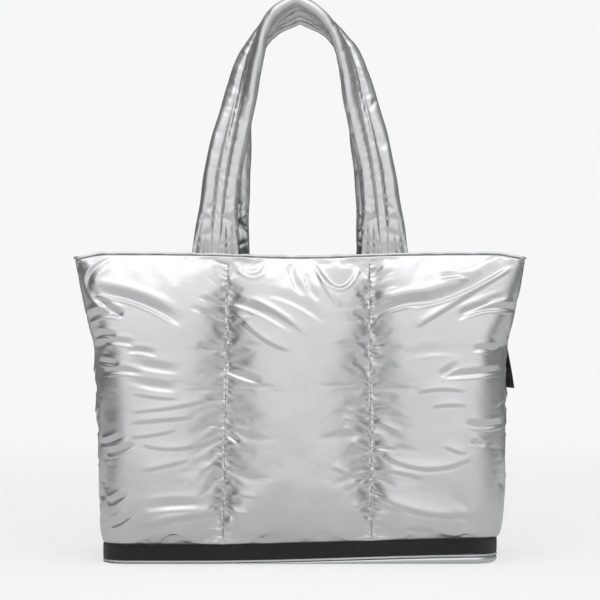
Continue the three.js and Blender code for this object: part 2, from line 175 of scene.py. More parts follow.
# %% Foot and mouth lines
RIM_HEIGHT = 1.2
RIM_LIFT = 6
BAND_HEIGHT = 15
PIPING_DIAMETER = 2.2
MOUTH_SAG = 3.5
CORNER_DROOP = 4.5


def rim_top(x):
    return RIM_HEIGHT + RIM_LIFT * smoothstep(-BASE_WIDTH / 4, BASE_WIDTH / 2, x)


def piping_centre(x):
    return rim_top(x) + SEAM_GAP + PIPING_DIAMETER / 2


def band_foot(x):
    return piping_centre(x) + PIPING_DIAMETER / 2 + SEAM_GAP


def band_top(x):
    return band_foot(x) + BAND_HEIGHT


def mouth_line(x):
    corner = smoothstep(0.86 * HEM_WIDTH / 2, HEM_WIDTH / 2, np.abs(x))
    return -MOUTH_SAG * np.exp(-((x / 80) ** 2)) - CORNER_DROOP * corner


print(f"the band climbs {float(rim_top(190.0) - rim_top(-190.0)):.1f} mm from left to right")

# %% [markdown]
# ## Laying a grid on the outline
# Each wall starts as a flat grid, the simplest shape to sew from. Its two directions, across and up,
# run from 0 to 1, and they stay on the mesh as attributes, so that a later step can still ask a
# point where on the wall it is. A place function turns them into a point of the bag.

# %% Grid helpers
def coordinates(mesh):
    flat = np.empty(len(mesh.vertices) * 3)
    mesh.vertices.foreach_get("co", flat)
    return flat.reshape(-1, 3)


def set_coordinates(mesh, points):
    mesh.vertices.foreach_set("co", np.ascontiguousarray(points, float).ravel())
    mesh.update()


def attribute(mesh, name):
    values = np.empty(len(mesh.vertices))
    mesh.attributes[name].data.foreach_get("value", values)
    return values


def object_from(name, bm):
    mesh = bpy.data.meshes.new(name)
    bm.to_mesh(mesh)
    bm.free()
    mesh.shade_smooth()
    piece = bpy.data.objects.new(name, mesh)
    bpy.context.scene.collection.objects.link(piece)
    return piece


def grid_bmesh(across_cuts, up_cuts):
    bm = bmesh.new()
    bmesh.ops.create_grid(bm, x_segments=across_cuts, y_segments=up_cuts, size=0.5)
    across = bm.verts.layers.float.new("across")
    up = bm.verts.layers.float.new("up")
    for vert in bm.verts:
        vert[across] = vert.co.x + 0.5
        vert[up] = vert.co.y + 0.5
    return bm


def close_mesh(mesh, merge=0.0, fill=False):
    """Merges points closer than merge (mm), fills open ends, and turns every face outward."""
    bm = bmesh.new()
    bm.from_mesh(mesh)
    if merge:
        bmesh.ops.remove_doubles(bm, verts=bm.verts[:], dist=merge * MM)
    if fill:
        bmesh.ops.holes_fill(bm, edges=[edge for edge in bm.edges if edge.is_boundary])
    bmesh.ops.recalc_face_normals(bm, faces=bm.faces[:])
    bm.to_mesh(mesh)
    bm.free()
    mesh.shade_smooth()


def bake_modifiers(piece):
    graph = bpy.context.evaluated_depsgraph_get()
    baked = bpy.data.meshes.new_from_object(piece.evaluated_get(graph))
    piece.modifiers.clear()
    old = piece.data
    piece.data = baked
    bpy.data.meshes.remove(old)
    baked.name = piece.name
    baked.shade_smooth()


# %% [markdown]
# The corners of a sewn bag aren't arcs. Padded cloth bends little by little, most in the middle of
# the corner, so the angle follows an eased curve and the points are summed up along it. A wall runs
# over two such corners, and its seams divide it into columns that keep their place at every height.

# %% Where a wall's points lie
CORNER_STEPS = np.linspace(0, 1, 65)
CORNER_ANGLES = np.pi / 2 * smoothstep(0, 1, CORNER_STEPS)
CORNER_ALONG = np.concatenate([[0], np.cumsum(np.cos((CORNER_ANGLES[1:] + CORNER_ANGLES[:-1]) / 2))])
CORNER_ALONG /= CORNER_ALONG[-1]
CORNER_ASIDE = 1 - CORNER_ALONG[::-1]


def outline_point(section, length):
    """A corner that tightens and eases again, because padded cloth never bends all at once."""
    straight = section["half_width"] - section["radius"]
    turned = np.clip((length - straight) / (np.pi / 2 * section["radius"]), 0, 1)
    angle = np.pi / 2 * smoothstep(0, 1, turned)
    on_straight = length <= straight
    x = straight + section["radius"] * np.interp(turned, CORNER_STEPS, CORNER_ALONG)
    y = -section["half_depth"] + section["radius"] * np.interp(turned, CORNER_STEPS, CORNER_ASIDE)
    return np.where(on_straight, length, x), y, np.sin(angle), -np.cos(angle)


def wall_height(x, up):
    return mix(band_top(x) + SEAM_GAP, BODY_HEIGHT - HEM_SHOWS - SEAM_GAP / 3 + mouth_line(x), up)


def rise_profile(share):
    foot = np.minimum(share / 0.14, 1)
    head = np.minimum((1 - share) / 0.3, 1)
    return np.maximum(foot * (2 - foot), 0) ** 0.55 * np.maximum(head * (2 - head), 0) ** 0.8


def column_profile(share):
    return np.maximum(4 * share * (1 - share), 0) ** 0.55


def eased(share):
    """Shares from 0 to 1 that lie closer together towards both ends."""
    return 0.55 * share + 0.45 * (0.5 - 0.5 * np.cos(np.pi * share))


def panel_share(across):
    which = np.clip(np.floor(across * 3), 0, 2)
    return which, eased(across * 3 - which)


def panel_place(across, up, offset, turn=1):
    which, share = panel_share(across)
    section = section_at(mix(BAND_HEIGHT, HEM_FOOT, up))
    reach = section["half_width"] + (np.pi / 2 - 1) * section["radius"]
    seams = [mix(*LEFT_SEAM, up) - section["sway"], mix(*RIGHT_SEAM, up) - section["sway"]]
    if turn < 0:
        seams = [-seams[1], -seams[0]]
    edges = np.stack([-reach, seams[0], seams[1], reach])
    column = which.astype(int)
    points = np.arange(len(across))
    length = mix(edges[column, points], edges[column + 1, points], share)
    side = np.where(length < 0, -1, 1)
    x, y, normal_x, normal_y = outline_point(section, np.abs(length))
    height = wall_height(turn * side * x, up)
    x = turn * side * (x + normal_x * offset) + section["sway"]
    return np.stack([x, turn * (y + normal_y * offset), height], 1)


def gusset_place(across, up, offset, turn=1):
    level = mix(BAND_HEIGHT, HEM_FOOT, up)
    section = section_at(level)
    side = 2 * across - 1
    tuck = section["fold"] * (1 - np.abs(side))
    x = section["half_width"] - tuck + offset
    y = side * (section["half_depth"] - section["radius"] - SEAM_GAP)
    edge = turn * BASE_WIDTH / 2
    foot = band_top(edge) + SEAM_GAP
    head = BODY_HEIGHT - HEM_SHOWS - SEAM_GAP + mouth_line(section["half_width"])
    return np.stack([turn * x + section["sway"], turn * y, mix(foot, head, up)], 1)


print("walls are laid by panel_place and gusset_place")

# %% [markdown]
# ## Padding by simulation
# Padding pushes the fabric out, and the stitches hold it back. So the cloth is pinned at its seams,
# a pressure stands for the padding, and the cloth is let out a little, because a puffer's shell is
# cut larger than its sewn size. The surplus has nowhere to go but into puckers, as on the real bag.
# A cap on how far a point may move keeps the wall near the frame's solid.

# %% Cloth
def simulate_padding(piece, sewn, pressure, surplus, cap, frames=20):
    start = coordinates(piece.data)
    group = piece.vertex_groups.new(name="sewn")
    group.add(np.nonzero(sewn)[0].tolist(), 1.0, "REPLACE")
    cloth = piece.modifiers.new("padding", "CLOTH")
    fabric = cloth.settings
    fabric.quality = 5
    fabric.mass = 0.25
    fabric.tension_stiffness = 12
    fabric.compression_stiffness = 12
    fabric.shear_stiffness = 4
    fabric.bending_stiffness = 0.35
    fabric.air_damping = 3
    fabric.vertex_group_mass = "sewn"
    fabric.shrink_min = -surplus
    fabric.use_pressure = True
    fabric.uniform_pressure_force = pressure
    fabric.effector_weights.gravity = 0
    cloth.point_cache.frame_start = 1
    cloth.point_cache.frame_end = frames
    scene = bpy.context.scene
    for step in range(1, frames + 1):
        scene.frame_set(step)
    graph = bpy.context.evaluated_depsgraph_get()
    settled = coordinates(piece.evaluated_get(graph).data)
    piece.modifiers.remove(cloth)
    piece.vertex_groups.clear()
    scene.frame_set(1)
    move = settled - start
    distance = np.linalg.norm(move, axis=1, keepdims=True)
    reach = cap * MM
    held = move * (reach * np.tanh(distance / reach) / np.maximum(distance, 1e-9))
    set_coordinates(piece.data, start + held)
    return distance.max() / MM


# %% [markdown]
# ## Folds
# Simulated cloth puckers like the real one, but its large folds fall where they like. The main folds
# of the photographed bag are charted in short tables instead: where a fold starts, bends and
# ends, how broad it is and how far it rises, or sinks where the number is negative. A fold has a
# sharp crest and long flanks, and a groove has a lip on each side, as a crease in coated nylon does.

# Its two flanks may differ, since a wall that hangs over a groove is steeper on one side.

# %% Fold shapes
FOLD_STEPS = 10
CREST_SOFTNESS = 0.7


def fold(start, bend, end, broad, rise, above=1.3, below=0.6, sewn=False):
    """above and below: how broad the flank is on either side, seen along the fold from its start."""
    return dict(start=start, bend=bend, end=end, broad=broad, rise=rise, above=above, below=below, sewn=sewn)


def crest(distance):
    return np.exp(CREST_SOFTNESS - np.sqrt(distance**2 + CREST_SOFTNESS**2))


def fold_heights(x, z, folds):
    heights = np.zeros_like(x)
    for row in folds:
        start, bend, end = (np.array(row[key], float) for key in ("start", "bend", "end"))
        reach = 6 * row["broad"] * max(row["above"], row["below"])
        low = np.minimum(np.minimum(start, bend), end) - reach
        high = np.maximum(np.maximum(start, bend), end) + reach
        near = np.nonzero((x > low[0]) & (x < high[0]) & (z > low[1]) & (z < high[1]))[0]
        if len(near) == 0:
            continue
        steps = np.linspace(0, 1, FOLD_STEPS + 1)[:, None]
        control = 2 * bend - (start + end) / 2
        line = (1 - steps) ** 2 * start + 2 * steps * (1 - steps) * control + steps**2 * end
        place = np.stack([x[near], z[near]], 1)
        best = np.full(len(near), 1e9)
        signed = np.zeros(len(near))
        along = np.zeros(len(near))
        for step in range(FOLD_STEPS):
            run = line[step + 1] - line[step]
            length = np.linalg.norm(run)
            rel = place - line[step]
            share = np.clip(rel @ run / length**2, 0, 1)
            off = np.linalg.norm(rel - share[:, None] * run, axis=1)
            closer = off < best
            best = np.where(closer, off, best)
            cross = run[0] * rel[:, 1] - run[1] * rel[:, 0]
            signed = np.where(closer, np.sign(cross) * off, signed)
            along = np.where(closer, (step + share) / FOLD_STEPS, along)
        if row["sewn"]:
            taper = np.minimum(along / 0.1, 1) * (1 - along) ** 1.3
        else:
            taper = np.sin(np.pi * np.clip(along, 0, 1)) ** 0.7
        unit = signed / (row["broad"] * np.where(signed > 0, row["above"], row["below"]))
        shape = crest(unit)
        if row["rise"] < 0:
            shape = shape - 0.4 * np.exp(-((np.abs(unit) - 2.4) ** 2))
        else:
            shape = shape - 0.3 * np.exp(-((unit + 2.2) ** 2))
        heights[near] += row["rise"] * taper * shape * smoothstep(6, 4, np.abs(unit))
    return heights


# %% [markdown]
# Between the large folds, every seam draws the fabric into short puckers. They stand a few
# millimetres apart, are sharpest at the stitches and die out within two or three centimetres. All of
# them lean the same way along a stretch of seam, because the two layers were sewn under tension. A
# seeded loop writes them, so each run gives the same bag.

# %% Puckers
def seam_puckers(seam_x, low, high, side, seed, climb, length=(6, 22), rise=(0.35, 1.0)):
    """climb is the slope away from the seam, at the foot and at the head of the seam."""
    dice = random.Random(seed)
    rows = []
    height = low + dice.uniform(1, 4)
    while height < high:
        reach = dice.uniform(*length) * dice.choice((0.5, 0.8, 1.0))
        drop = mix(*climb, (height - low) / (high - low)) * dice.uniform(0.6, 1.4) * reach
        x = seam_x(height)
        bend = (x + side * reach * 0.45, height + drop * 0.35)
        end = (x + side * reach, height + drop)
        sign = -1 if dice.random() < 0.5 else 1
        broad = dice.uniform(0.7, 1.4)
        rows.append(fold((x, height), bend, end, broad, sign * dice.uniform(*rise), 1, 1, sewn=True))
        height += dice.uniform(2.6, 5.6)
    return rows


def edge_puckers(height, low, high, side, seed, length=(8, 20), rise=(0.4, 1.0)):
    dice = random.Random(seed)
    rows = []
    x = low + dice.uniform(2, 10)
    while x < high:
        reach = dice.uniform(*length)
        drift = dice.uniform(-0.5, 0.5) * reach
        start = (x, height - side)
        bend = (x + drift * 0.4, height + side * reach * 0.5)
        end = (x + drift, height + side * reach)
        sign = -1 if dice.random() < 0.6 else 1
        broad = dice.uniform(1.2, 2.2)
        rows.append(fold(start, bend, end, broad, sign * dice.uniform(*rise), 1, 1, sewn=True))
        x += dice.uniform(9, 24)
    return rows


def left_seam_x(height):
    return mix(*LEFT_SEAM, height / BODY_HEIGHT)


def right_seam_x(height):
    return mix(*RIGHT_SEAM, height / BODY_HEIGHT)


front_puckers = (
    seam_puckers(left_seam_x, 26, 297, -1, 3, climb=(0.1, 0.55), length=(8, 26), rise=(0.6, 1.4))
    + seam_puckers(left_seam_x, 26, 297, 1, 5, climb=(-0.2, -0.6), length=(5, 12), rise=(0.5, 1.1))
    + seam_puckers(right_seam_x, 26, 297, -1, 8, climb=(0.4, 0.5), length=(5, 13), rise=(0.5, 1.1))
    + seam_puckers(right_seam_x, 26, 297, 1, 13, climb=(-0.25, 0.4), length=(6, 22), rise=(0.6, 1.3))
    + edge_puckers(22, -175, 175, 1, seed=21)
    + edge_puckers(296, -205, 205, -1, seed=34, length=(5, 12), rise=(0.2, 0.5))
)
print(len(front_puckers), "puckers on the front")

# %% [markdown]
# ## The folds of the front
# Millimetres from the middle of the bag and from the floor. The largest are the two grooves where
# the folded-in sides pull on the outer columns, one from each top corner towards its seam.

# %% Fold chart
LEFT_COLUMN_FOLDS = [
    fold((-206, 263), (-160, 255), (-116, 232), 2.9, -4.2, above=1.5, below=0.5),
    fold((-182, 299), (-205, 282), (-204, 262), 2.4, -1.9),
    fold((-204, 262), (-190, 251), (-172, 240), 2.1, -2.7),
    fold((-206, 236), (-190, 243), (-172, 240), 2.4, -3.1),
    fold((-200, 219), (-190, 222), (-178, 220), 1.9, -1.9),
    fold((-188, 214), (-174, 215), (-160, 212), 1.9, -1.7),
    fold((-168, 206), (-153, 206), (-138, 202), 1.9, -1.4),
    fold((-196, 196), (-184, 194), (-176, 193), 1.8, -1.5),
    fold((-190, 185), (-172, 187), (-152, 184), 1.9, -1.7),
    fold((-166, 196), (-140, 190), (-114, 187), 2.9, -1.3),
    fold((-166, 178), (-140, 172), (-116, 170), 2.9, -1.3),
    fold((-160, 167), (-138, 163), (-116, 162), 2.4, 1.1),
    fold((-164, 149), (-120, 154), (-84, 162), 2.6, 1.3),
    fold((-164, 139), (-132, 142), (-102, 144), 2.9, 1.2),
    fold((-164, 125), (-142, 127), (-120, 132), 2.4, 0.9),
    fold((-192, 116), (-184, 118), (-172, 124), 1.8, -2.0),
    fold((-152, 118), (-116, 114), (-74, 124), 2.4, 1.2),
    fold((-152, 93), (-132, 97), (-108, 103), 2.6, 1.0),
    fold((-186, 107), (-174, 110), (-160, 117), 1.9, -1.7),
    fold((-148, 55), (-120, 58), (-90, 58), 2.7, -1.4),
    fold((-162, 36), (-126, 46), (-76, 53), 4.0, 2.2),
    fold((-184, 59), (-178, 62), (-168, 68), 1.9, -1.7),
    fold((-184, 37), (-172, 42), (-162, 50), 2.1, -1.7),
    fold((-136, 24), (-123, 32), (-112, 26), 2.2, 1.4),
    fold((-98, 259), (-85, 254), (-70, 249), 1.6, -1.5),
    fold((-107, 249), (-88, 242), (-70, 235), 1.8, -1.5),
    fold((-100, 214), (-86, 208), (-71, 202), 1.9, -1.0),
    fold((-94, 92), (-84, 96), (-73, 92), 2.1, 1.2),
]

CENTRE_COLUMN_FOLDS = [
    fold((-11, 291), (-7, 276), (2, 259), 2.4, -1.4),
    fold((5, 282), (9, 268), (18, 255), 2.2, -1.2),
    fold((13, 293), (26, 266), (40, 249), 2.1, 1.7),
    fold((12, 302), (37, 271), (56, 294), 3.0, -3.0, above=3.5, below=0.6),
    fold((-64, 300), (-46, 284), (-34, 300), 3.0, -1.8, above=3.0, below=0.8),
    fold((-69, 254), (-40, 245), (-8, 226), 2.4, -1.5),
    fold((-47, 258), (-20, 243), (7, 222), 2.4, 1.5),
    fold((-64, 245), (-36, 220), (-9, 208), 2.6, 1.5),
    fold((-30, 262), (-2, 252), (26, 233), 2.9, -1.0),
    fold((-72, 187), (-55, 181), (-38, 176), 2.1, -1.5),
    fold((-71, 131), (-61, 131), (-50, 130), 1.6, 0.9),
    fold((-71, 126), (-66, 122), (-59, 118), 1.6, -1.3),
    fold((-71, 117), (-65, 115), (-59, 113), 1.6, 0.9),
    fold((-72, 56), (-62, 52), (-50, 50), 1.8, 1.3),
    fold((-71, 53), (-64, 40), (-74, 27), 1.9, -1.4),
    fold((-66, 67), (-55, 68), (-42, 66), 1.9, 0.9),
    fold((-58, 24), (-46, 33), (-36, 25), 2.2, 1.1),
    fold((45, 149), (57, 147), (69, 142), 1.6, 1.3),
    fold((42, 142), (56, 138), (69, 129), 1.6, 1.3),
    fold((43, 133), (55, 128), (68, 121), 1.8, 1.4),
    fold((50, 120), (60, 116), (69, 112), 1.8, 1.3),
    fold((32, 97), (52, 88), (70, 88), 2.7, 2.2),
    fold((48, 79), (58, 78), (69, 78), 1.9, 1.0),
    fold((50, 57), (60, 58), (69, 59), 1.9, 1.0),
    fold((52, 243), (63, 237), (67, 228), 2.4, -1.4),
    fold((54, 216), (64, 211), (67, 203), 2.4, -1.4),
    fold((52, 195), (62, 190), (67, 182), 2.4, -1.4),
    fold((56, 262), (64, 256), (68, 248), 2.1, -1.2),
]

RIGHT_COLUMN_FOLDS = [
    fold((69, 235), (90, 249), (128, 256), 2.9, -3.6, above=1.5, below=0.5),
    fold((104, 251), (152, 263), (204, 291), 3.2, -4.2, above=1.6, below=0.5),
    fold((112, 230), (142, 249), (206, 287), 2.7, 2.2),
    fold((153, 237), (178, 247), (212, 246), 2.2, -2.7),
    fold((153, 242), (178, 252), (202, 260), 1.9, -2.0),
    fold((136, 277), (150, 279), (166, 279), 1.8, -1.2),
    fold((69, 280), (74, 284), (81, 288), 1.6, -1.2),
    fold((71, 276), (80, 280), (91, 284), 1.6, -1.2),
    fold((69, 262), (80, 267), (94, 271), 1.8, -1.2),
    fold((69, 249), (78, 254), (90, 258), 1.8, -1.1),
    fold((135, 182), (144, 188), (155, 193), 2.1, -1.4),
    fold((135, 182), (166, 184), (196, 187), 2.2, -1.7),
    fold((166, 207), (178, 208), (190, 206), 2.1, -1.4),
    fold((114, 168), (136, 171), (160, 169), 2.4, 1.3),
    fold((128, 154), (144, 156), (160, 155), 2.4, 1.2),
    fold((72, 136), (84, 134), (96, 128), 1.9, 1.3),
    fold((73, 115), (83, 115), (94, 113), 1.9, 1.2),
    fold((81, 106), (124, 95), (164, 105), 3.0, 2.1),
    fold((139, 117), (149, 112), (160, 109), 2.4, 1.2),
    fold((72, 92), (94, 91), (119, 85), 2.4, 1.3),
    fold((76, 69), (124, 52), (176, 53), 3.7, 2.4),
    fold((70, 61), (84, 58), (98, 52), 2.2, 1.3),
    fold((144, 25), (158, 32), (172, 29), 2.9, 1.5),
    fold((161, 138), (176, 134), (196, 136), 2.1, -2.0),
    fold((165, 119), (171, 117), (178, 114), 1.8, -1.5),
    fold((100, 200), (128, 206), (156, 204), 3.2, -0.8),
    fold((96, 30), (106, 37), (120, 31), 2.2, 1.0),
]

front_folds = LEFT_COLUMN_FOLDS + CENTRE_COLUMN_FOLDS + RIGHT_COLUMN_FOLDS
print(len(front_folds), "charted folds")

# %% [markdown]
# ## Making a padded wall
# The steps are the same for all four walls: lay the grid, let the cloth settle, smooth it once, press
# the folds in along its normals, then copy the face inward and close the two into one padded slab.

# %% Padded walls
SEWN_EDGE = 1e-4


def sewn_points(across, up, columns):
    lines = np.minimum(np.abs(up), np.abs(up - 1)) < SEWN_EDGE
    for column in range(columns + 1):
        lines |= np.abs(across - column / columns) < SEWN_EDGE
    return lines


def close_wall(piece, place, turn):
    bm = bmesh.new()
    bm.from_mesh(piece.data)
    inner = bm.verts.layers.float.new("inner")
    copied = bmesh.ops.extrude_face_region(bm, geom=bm.faces[:], use_keep_orig=True)
    for item in copied["geom"]:
        if isinstance(item, bmesh.types.BMVert):
            item[inner] = 1.0
    bm.to_mesh(piece.data)
    bm.free()
    mesh = piece.data
    points = coordinates(mesh)
    behind = attribute(mesh, "inner") > 0.5
    across = attribute(mesh, "across")[behind]
    up = attribute(mesh, "up")[behind]
    points[behind] = place(across, up, -WALL, turn) * MM
    set_coordinates(mesh, points)
    close_mesh(mesh)


def padded_wall(name, place, swell, folds, columns, cuts, turn=1, pressure=2.6, surplus=0.009, cap=6):
    piece = object_from(name, grid_bmesh(*cuts))
    mesh = piece.data
    across, up = attribute(mesh, "across"), attribute(mesh, "up")
    puff = swell(across, up)
    set_coordinates(mesh, place(across, up, puff, turn) * MM)
    moved = 0.0
    moved = simulate_padding(piece, sewn_points(across, up, columns), pressure, surplus, cap)
    smooth = piece.modifiers.new("smooth", "SUBSURF")
    smooth.levels = smooth.render_levels = 1
    bake_modifiers(piece)
    mesh = piece.data
    points = coordinates(mesh)
    normals = np.empty(len(mesh.vertices) * 3)
    mesh.vertices.foreach_get("normal", normals)
    normals = normals.reshape(-1, 3)
    across, up = attribute(mesh, "across"), attribute(mesh, "up")
    fade = np.minimum(1, np.minimum(up, 1 - up) / 0.02)
    along = points[:, 0] * turn if columns == 3 else points[:, 1] * turn
    heights = fold_heights(along / MM, points[:, 2] / MM, folds) * fade
    set_coordinates(mesh, points + normals * (heights * MM)[:, None])
    close_wall(piece, place, turn)
    print(f"{name}: cloth moved {moved:.1f} mm, {len(piece.data.polygons)} faces")
    return piece


def panel_swell(across, up):
    _, share = panel_share(across)
    return 0.78 * PANEL_PUFF * column_profile(share) * rise_profile(up)


COLUMN_CUTS = 44
WALL_ROWS = 150
front_panel = padded_wall(
    "padded_front", panel_place, panel_swell, front_folds + front_puckers, 3, (3 * COLUMN_CUTS, WALL_ROWS)
)

# %% [markdown]
# ## Back and sides
# The photograph doesn't show the back, so it is finished plainly, with the same seams and puckers and
# a few broad folds. The sides fold in towards the mouth, which the place function already does.

# %% Back panel
back_folds = [
    fold((-204, 268), (-160, 256), (-112, 240), 3.8, -4.2),
    fold((110, 244), (156, 258), (204, 282), 3.8, -4.2),
    fold((-160, 150), (-120, 142), (-84, 150), 4.2, 1.8),
    fold((-150, 70), (-114, 58), (-80, 66), 4.6, 2.2),
    fold((-40, 232), (-6, 222), (34, 230), 4.2, -1.6),
    fold((-34, 96), (0, 88), (36, 98), 4.4, 1.6),
    fold((82, 126), (122, 114), (160, 126), 4.2, 2.0),
    fold((84, 62), (128, 50), (172, 60), 4.6, 2.2),
    fold((150, 206), (176, 210), (200, 202), 3.0, -2.2),
    fold((-200, 206), (-176, 212), (-150, 206), 3.0, -2.2),
]
back_puckers = (
    seam_puckers(lambda height: -right_seam_x(height), 26, 294, -1, 41, climb=(0.1, 0.4))
    + seam_puckers(lambda height: -right_seam_x(height), 26, 294, 1, 43, climb=(-0.2, -0.4))
    + seam_puckers(lambda height: -left_seam_x(height), 26, 294, -1, 47, climb=(0.2, 0.5))
    + seam_puckers(lambda height: -left_seam_x(height), 26, 294, 1, 53, climb=(-0.2, 0.3))
    + edge_puckers(22, -175, 175, 1, seed=59)
    + edge_puckers(296, -205, 205, -1, seed=61, length=(5, 12), rise=(0.2, 0.5))
)
back_panel = padded_wall(
    "padded_back", panel_place, panel_swell, back_folds + back_puckers, 3, (3 * 30, 84), turn=-1
)

# %% [markdown]
# A side wall is narrower and has no seams of its own. The more it folds in, the less its padding can
# push it out, so the puff is scaled down towards the mouth.

# %% Gussets
def gusset_swell(across, up):
    side = np.abs(2 * across - 1)
    level = mix(BAND_HEIGHT, HEM_FOOT, up)
    firm = 1 - 0.8 * section_at(level)["fold"] / GUSSET_FOLD
    return 0.8 * GUSSET_PUFF * (1 - side**2) ** 0.55 * rise_profile(up) * firm


def gusset_folds(seed):
    dice = random.Random(seed)
    rows = []
    for height in range(40, 280, 22):
        level = height + dice.uniform(-6, 6)
        half = dice.uniform(18, 34)
        middle = dice.uniform(-12, 12)
        start = (middle - half, level + dice.uniform(-8, 8))
        end = (middle + half, level + dice.uniform(-8, 8))
        bend = (middle, level - dice.uniform(0, 7))
        rows.append(fold(start, bend, end, dice.uniform(2.4, 3.8), dice.choice((-1.6, 1.4, -1.2))))
    rows += seam_puckers(lambda height: -45, 30, 285, 1, seed + 1, climb=(0.2, 0.3), length=(8, 20))
    rows += seam_puckers(lambda height: 45, 30, 285, -1, seed + 2, climb=(0.2, 0.3), length=(8, 20))
    return rows


right_gusset = padded_wall(
    "padded_right_side", gusset_place, gusset_swell, gusset_folds(71), 1, (30, 84), cap=5, pressure=2.5
)
left_gusset = padded_wall(
    "padded_left_side", gusset_place, gusset_swell, gusset_folds(83), 1, (30, 84), -1, cap=5, pressure=2.5
)

# %% [markdown]
# ## Pieces that run round the bag
# The hem, the band, the piping and the base all follow the same outline. One helper bends a grid into
# a ring: its across direction runs once round the bag, and its up direction runs round a small
# profile. Merging the doubled points then closes the ring both ways. The hem's profile is a hook: its
# front lip laps over the wall's top edge by a few millimetres, and its back flange hangs inside.

# %% Rings
SAME_POINT = 0.01


def ring_point(around, section, offset):
    straight = section["half_width"] - section["radius"]
    arc = np.pi / 2 * section["radius"]
    side_run = section["half_depth"] - section["radius"]
    quarter_length = straight + arc + side_run
    quarter = np.floor(around * 4 + 1e-9).astype(int) % 4
    share = around * 4 - np.floor(around * 4 + 1e-9)
    share = np.where(quarter % 2 == 1, 1 - share, share)
    length = share * quarter_length
    x, y, normal_x, normal_y = outline_point(section, np.minimum(length, straight + arc))
    beyond = np.clip(length - straight - arc, 0, side_run)
    on_side = length > straight + arc
    x = np.where(on_side, x - section["fold"] * beyond / side_run + offset, x + normal_x * offset)
    y = np.where(on_side, y + beyond, y + normal_y * offset)
    sign_x = np.where(quarter < 2, 1, -1)
    sign_y = np.where((quarter == 0) | (quarter == 3), 1, -1)
    return sign_x * x, sign_y * y


def ring(name, height, cuts, profile, place_height):
    """profile gives, for each of its closed points, an offset outward and a share or height."""
    count = len(profile)
    piece_bm = grid_bmesh(cuts, count)
    piece = object_from(name, piece_bm)
    mesh = piece.data
    around = attribute(mesh, "across") % 1.0
    index = np.round(attribute(mesh, "up") * count).astype(int) % count
    offset = np.array([point[0] for point in profile])[index]
    share = np.array([point[1] for point in profile])[index]
    x, y = ring_point(around, section_at(np.full(len(around), float(height))), offset)
    z = place_height(x, share, around)
    set_coordinates(mesh, np.stack([x, y, z], 1) * MM)
    close_mesh(mesh, merge=SAME_POINT)
    print(f"{name}: {len(mesh.polygons)} faces")
    return piece


def round_profile(width, height, points, power=0.6):
    """A soft-cornered rectangle as offsets and shares, with its outside at offset 0."""
    rows = []
    for step in range(points):
        angle = 2 * math.pi * step / points
        across = math.copysign(abs(math.cos(angle)) ** power, math.cos(angle))
        up = math.copysign(abs(math.sin(angle)) ** power, math.sin(angle))
        rows.append((width * (across - 1) / 2, height * (up + 1) / 2))
    return rows


RING_CUTS = 560
HEM_THICKNESS = 4
HEM_HEIGHT = BODY_HEIGHT - HEM_FOOT
hem_lip = HEM_HEIGHT - HEM_SHOWS
hem_back = -(WALL + SEAM_GAP)
# Millimetres outward from the outline and up from the hem's foot, read once round the fold.
hem_profile = [
    (-0.7, HEM_HEIGHT),
    (-0.1, HEM_HEIGHT - 0.15),
    (0.25, HEM_HEIGHT - 0.5),
    (0.35, HEM_HEIGHT - 1.1),
    (0.35, hem_lip + 0.8),
    (0.2, hem_lip + 0.25),
    (-0.4, hem_lip),
    (hem_back, hem_lip),
    (hem_back, 0.0),
    (-HEM_THICKNESS, 0.0),
    (-HEM_THICKNESS, HEM_HEIGHT - 0.6),
    (-HEM_THICKNESS + 0.3, HEM_HEIGHT - 0.2),
    (-HEM_THICKNESS + 0.9, HEM_HEIGHT),
]


def hem_height(x, share, around):
    ripple = 0.25 * np.sin(around * 2 * np.pi * 37) + 0.2 * np.sin(around * 2 * np.pi * 61 + 1.3)
    return HEM_FOOT + mouth_line(x) + share + ripple * share / HEM_HEIGHT


top_hem = ring("folded_hem", BODY_HEIGHT, RING_CUTS, hem_profile, hem_height)

# %% [markdown]
# The band is flat webbing with nearly square edges, and the piping under it is a thin round roll.
# Both are the same ring with another profile, and the band's edge waves a little, as webbing does.

# %% Band and piping
BAND_THICKNESS = 2.4
band_profile = round_profile(BAND_THICKNESS, BAND_HEIGHT, 24, power=0.45)


def band_height(x, share, around):
    ripple = 0.3 * np.sin(around * 2 * np.pi * 23 + 0.7) * np.sin(around * 2 * np.pi * 5)
    return band_foot(x) + share + ripple * 0.5


base_band = ring("foot_band", 0, RING_CUTS, band_profile, band_height)
piping_radius = PIPING_DIAMETER / 2
piping_profile = [
    (piping_radius * (math.cos(2 * math.pi * step / 10) - 0.8), math.sin(2 * math.pi * step / 10))
    for step in range(10)
]


def piping_height(x, share, around):
    return piping_centre(x) + piping_radius * share


base_piping = ring("foot_piping", 0, RING_CUTS, piping_profile, piping_height)

# %% [markdown]
# ## Base
# The padded base shows as a silver rim that bulges under the piping where the band climbs. It is a
# ring too, whose profile runs from the floor of the bag over the rim to the underside, with the two
# open middles filled.

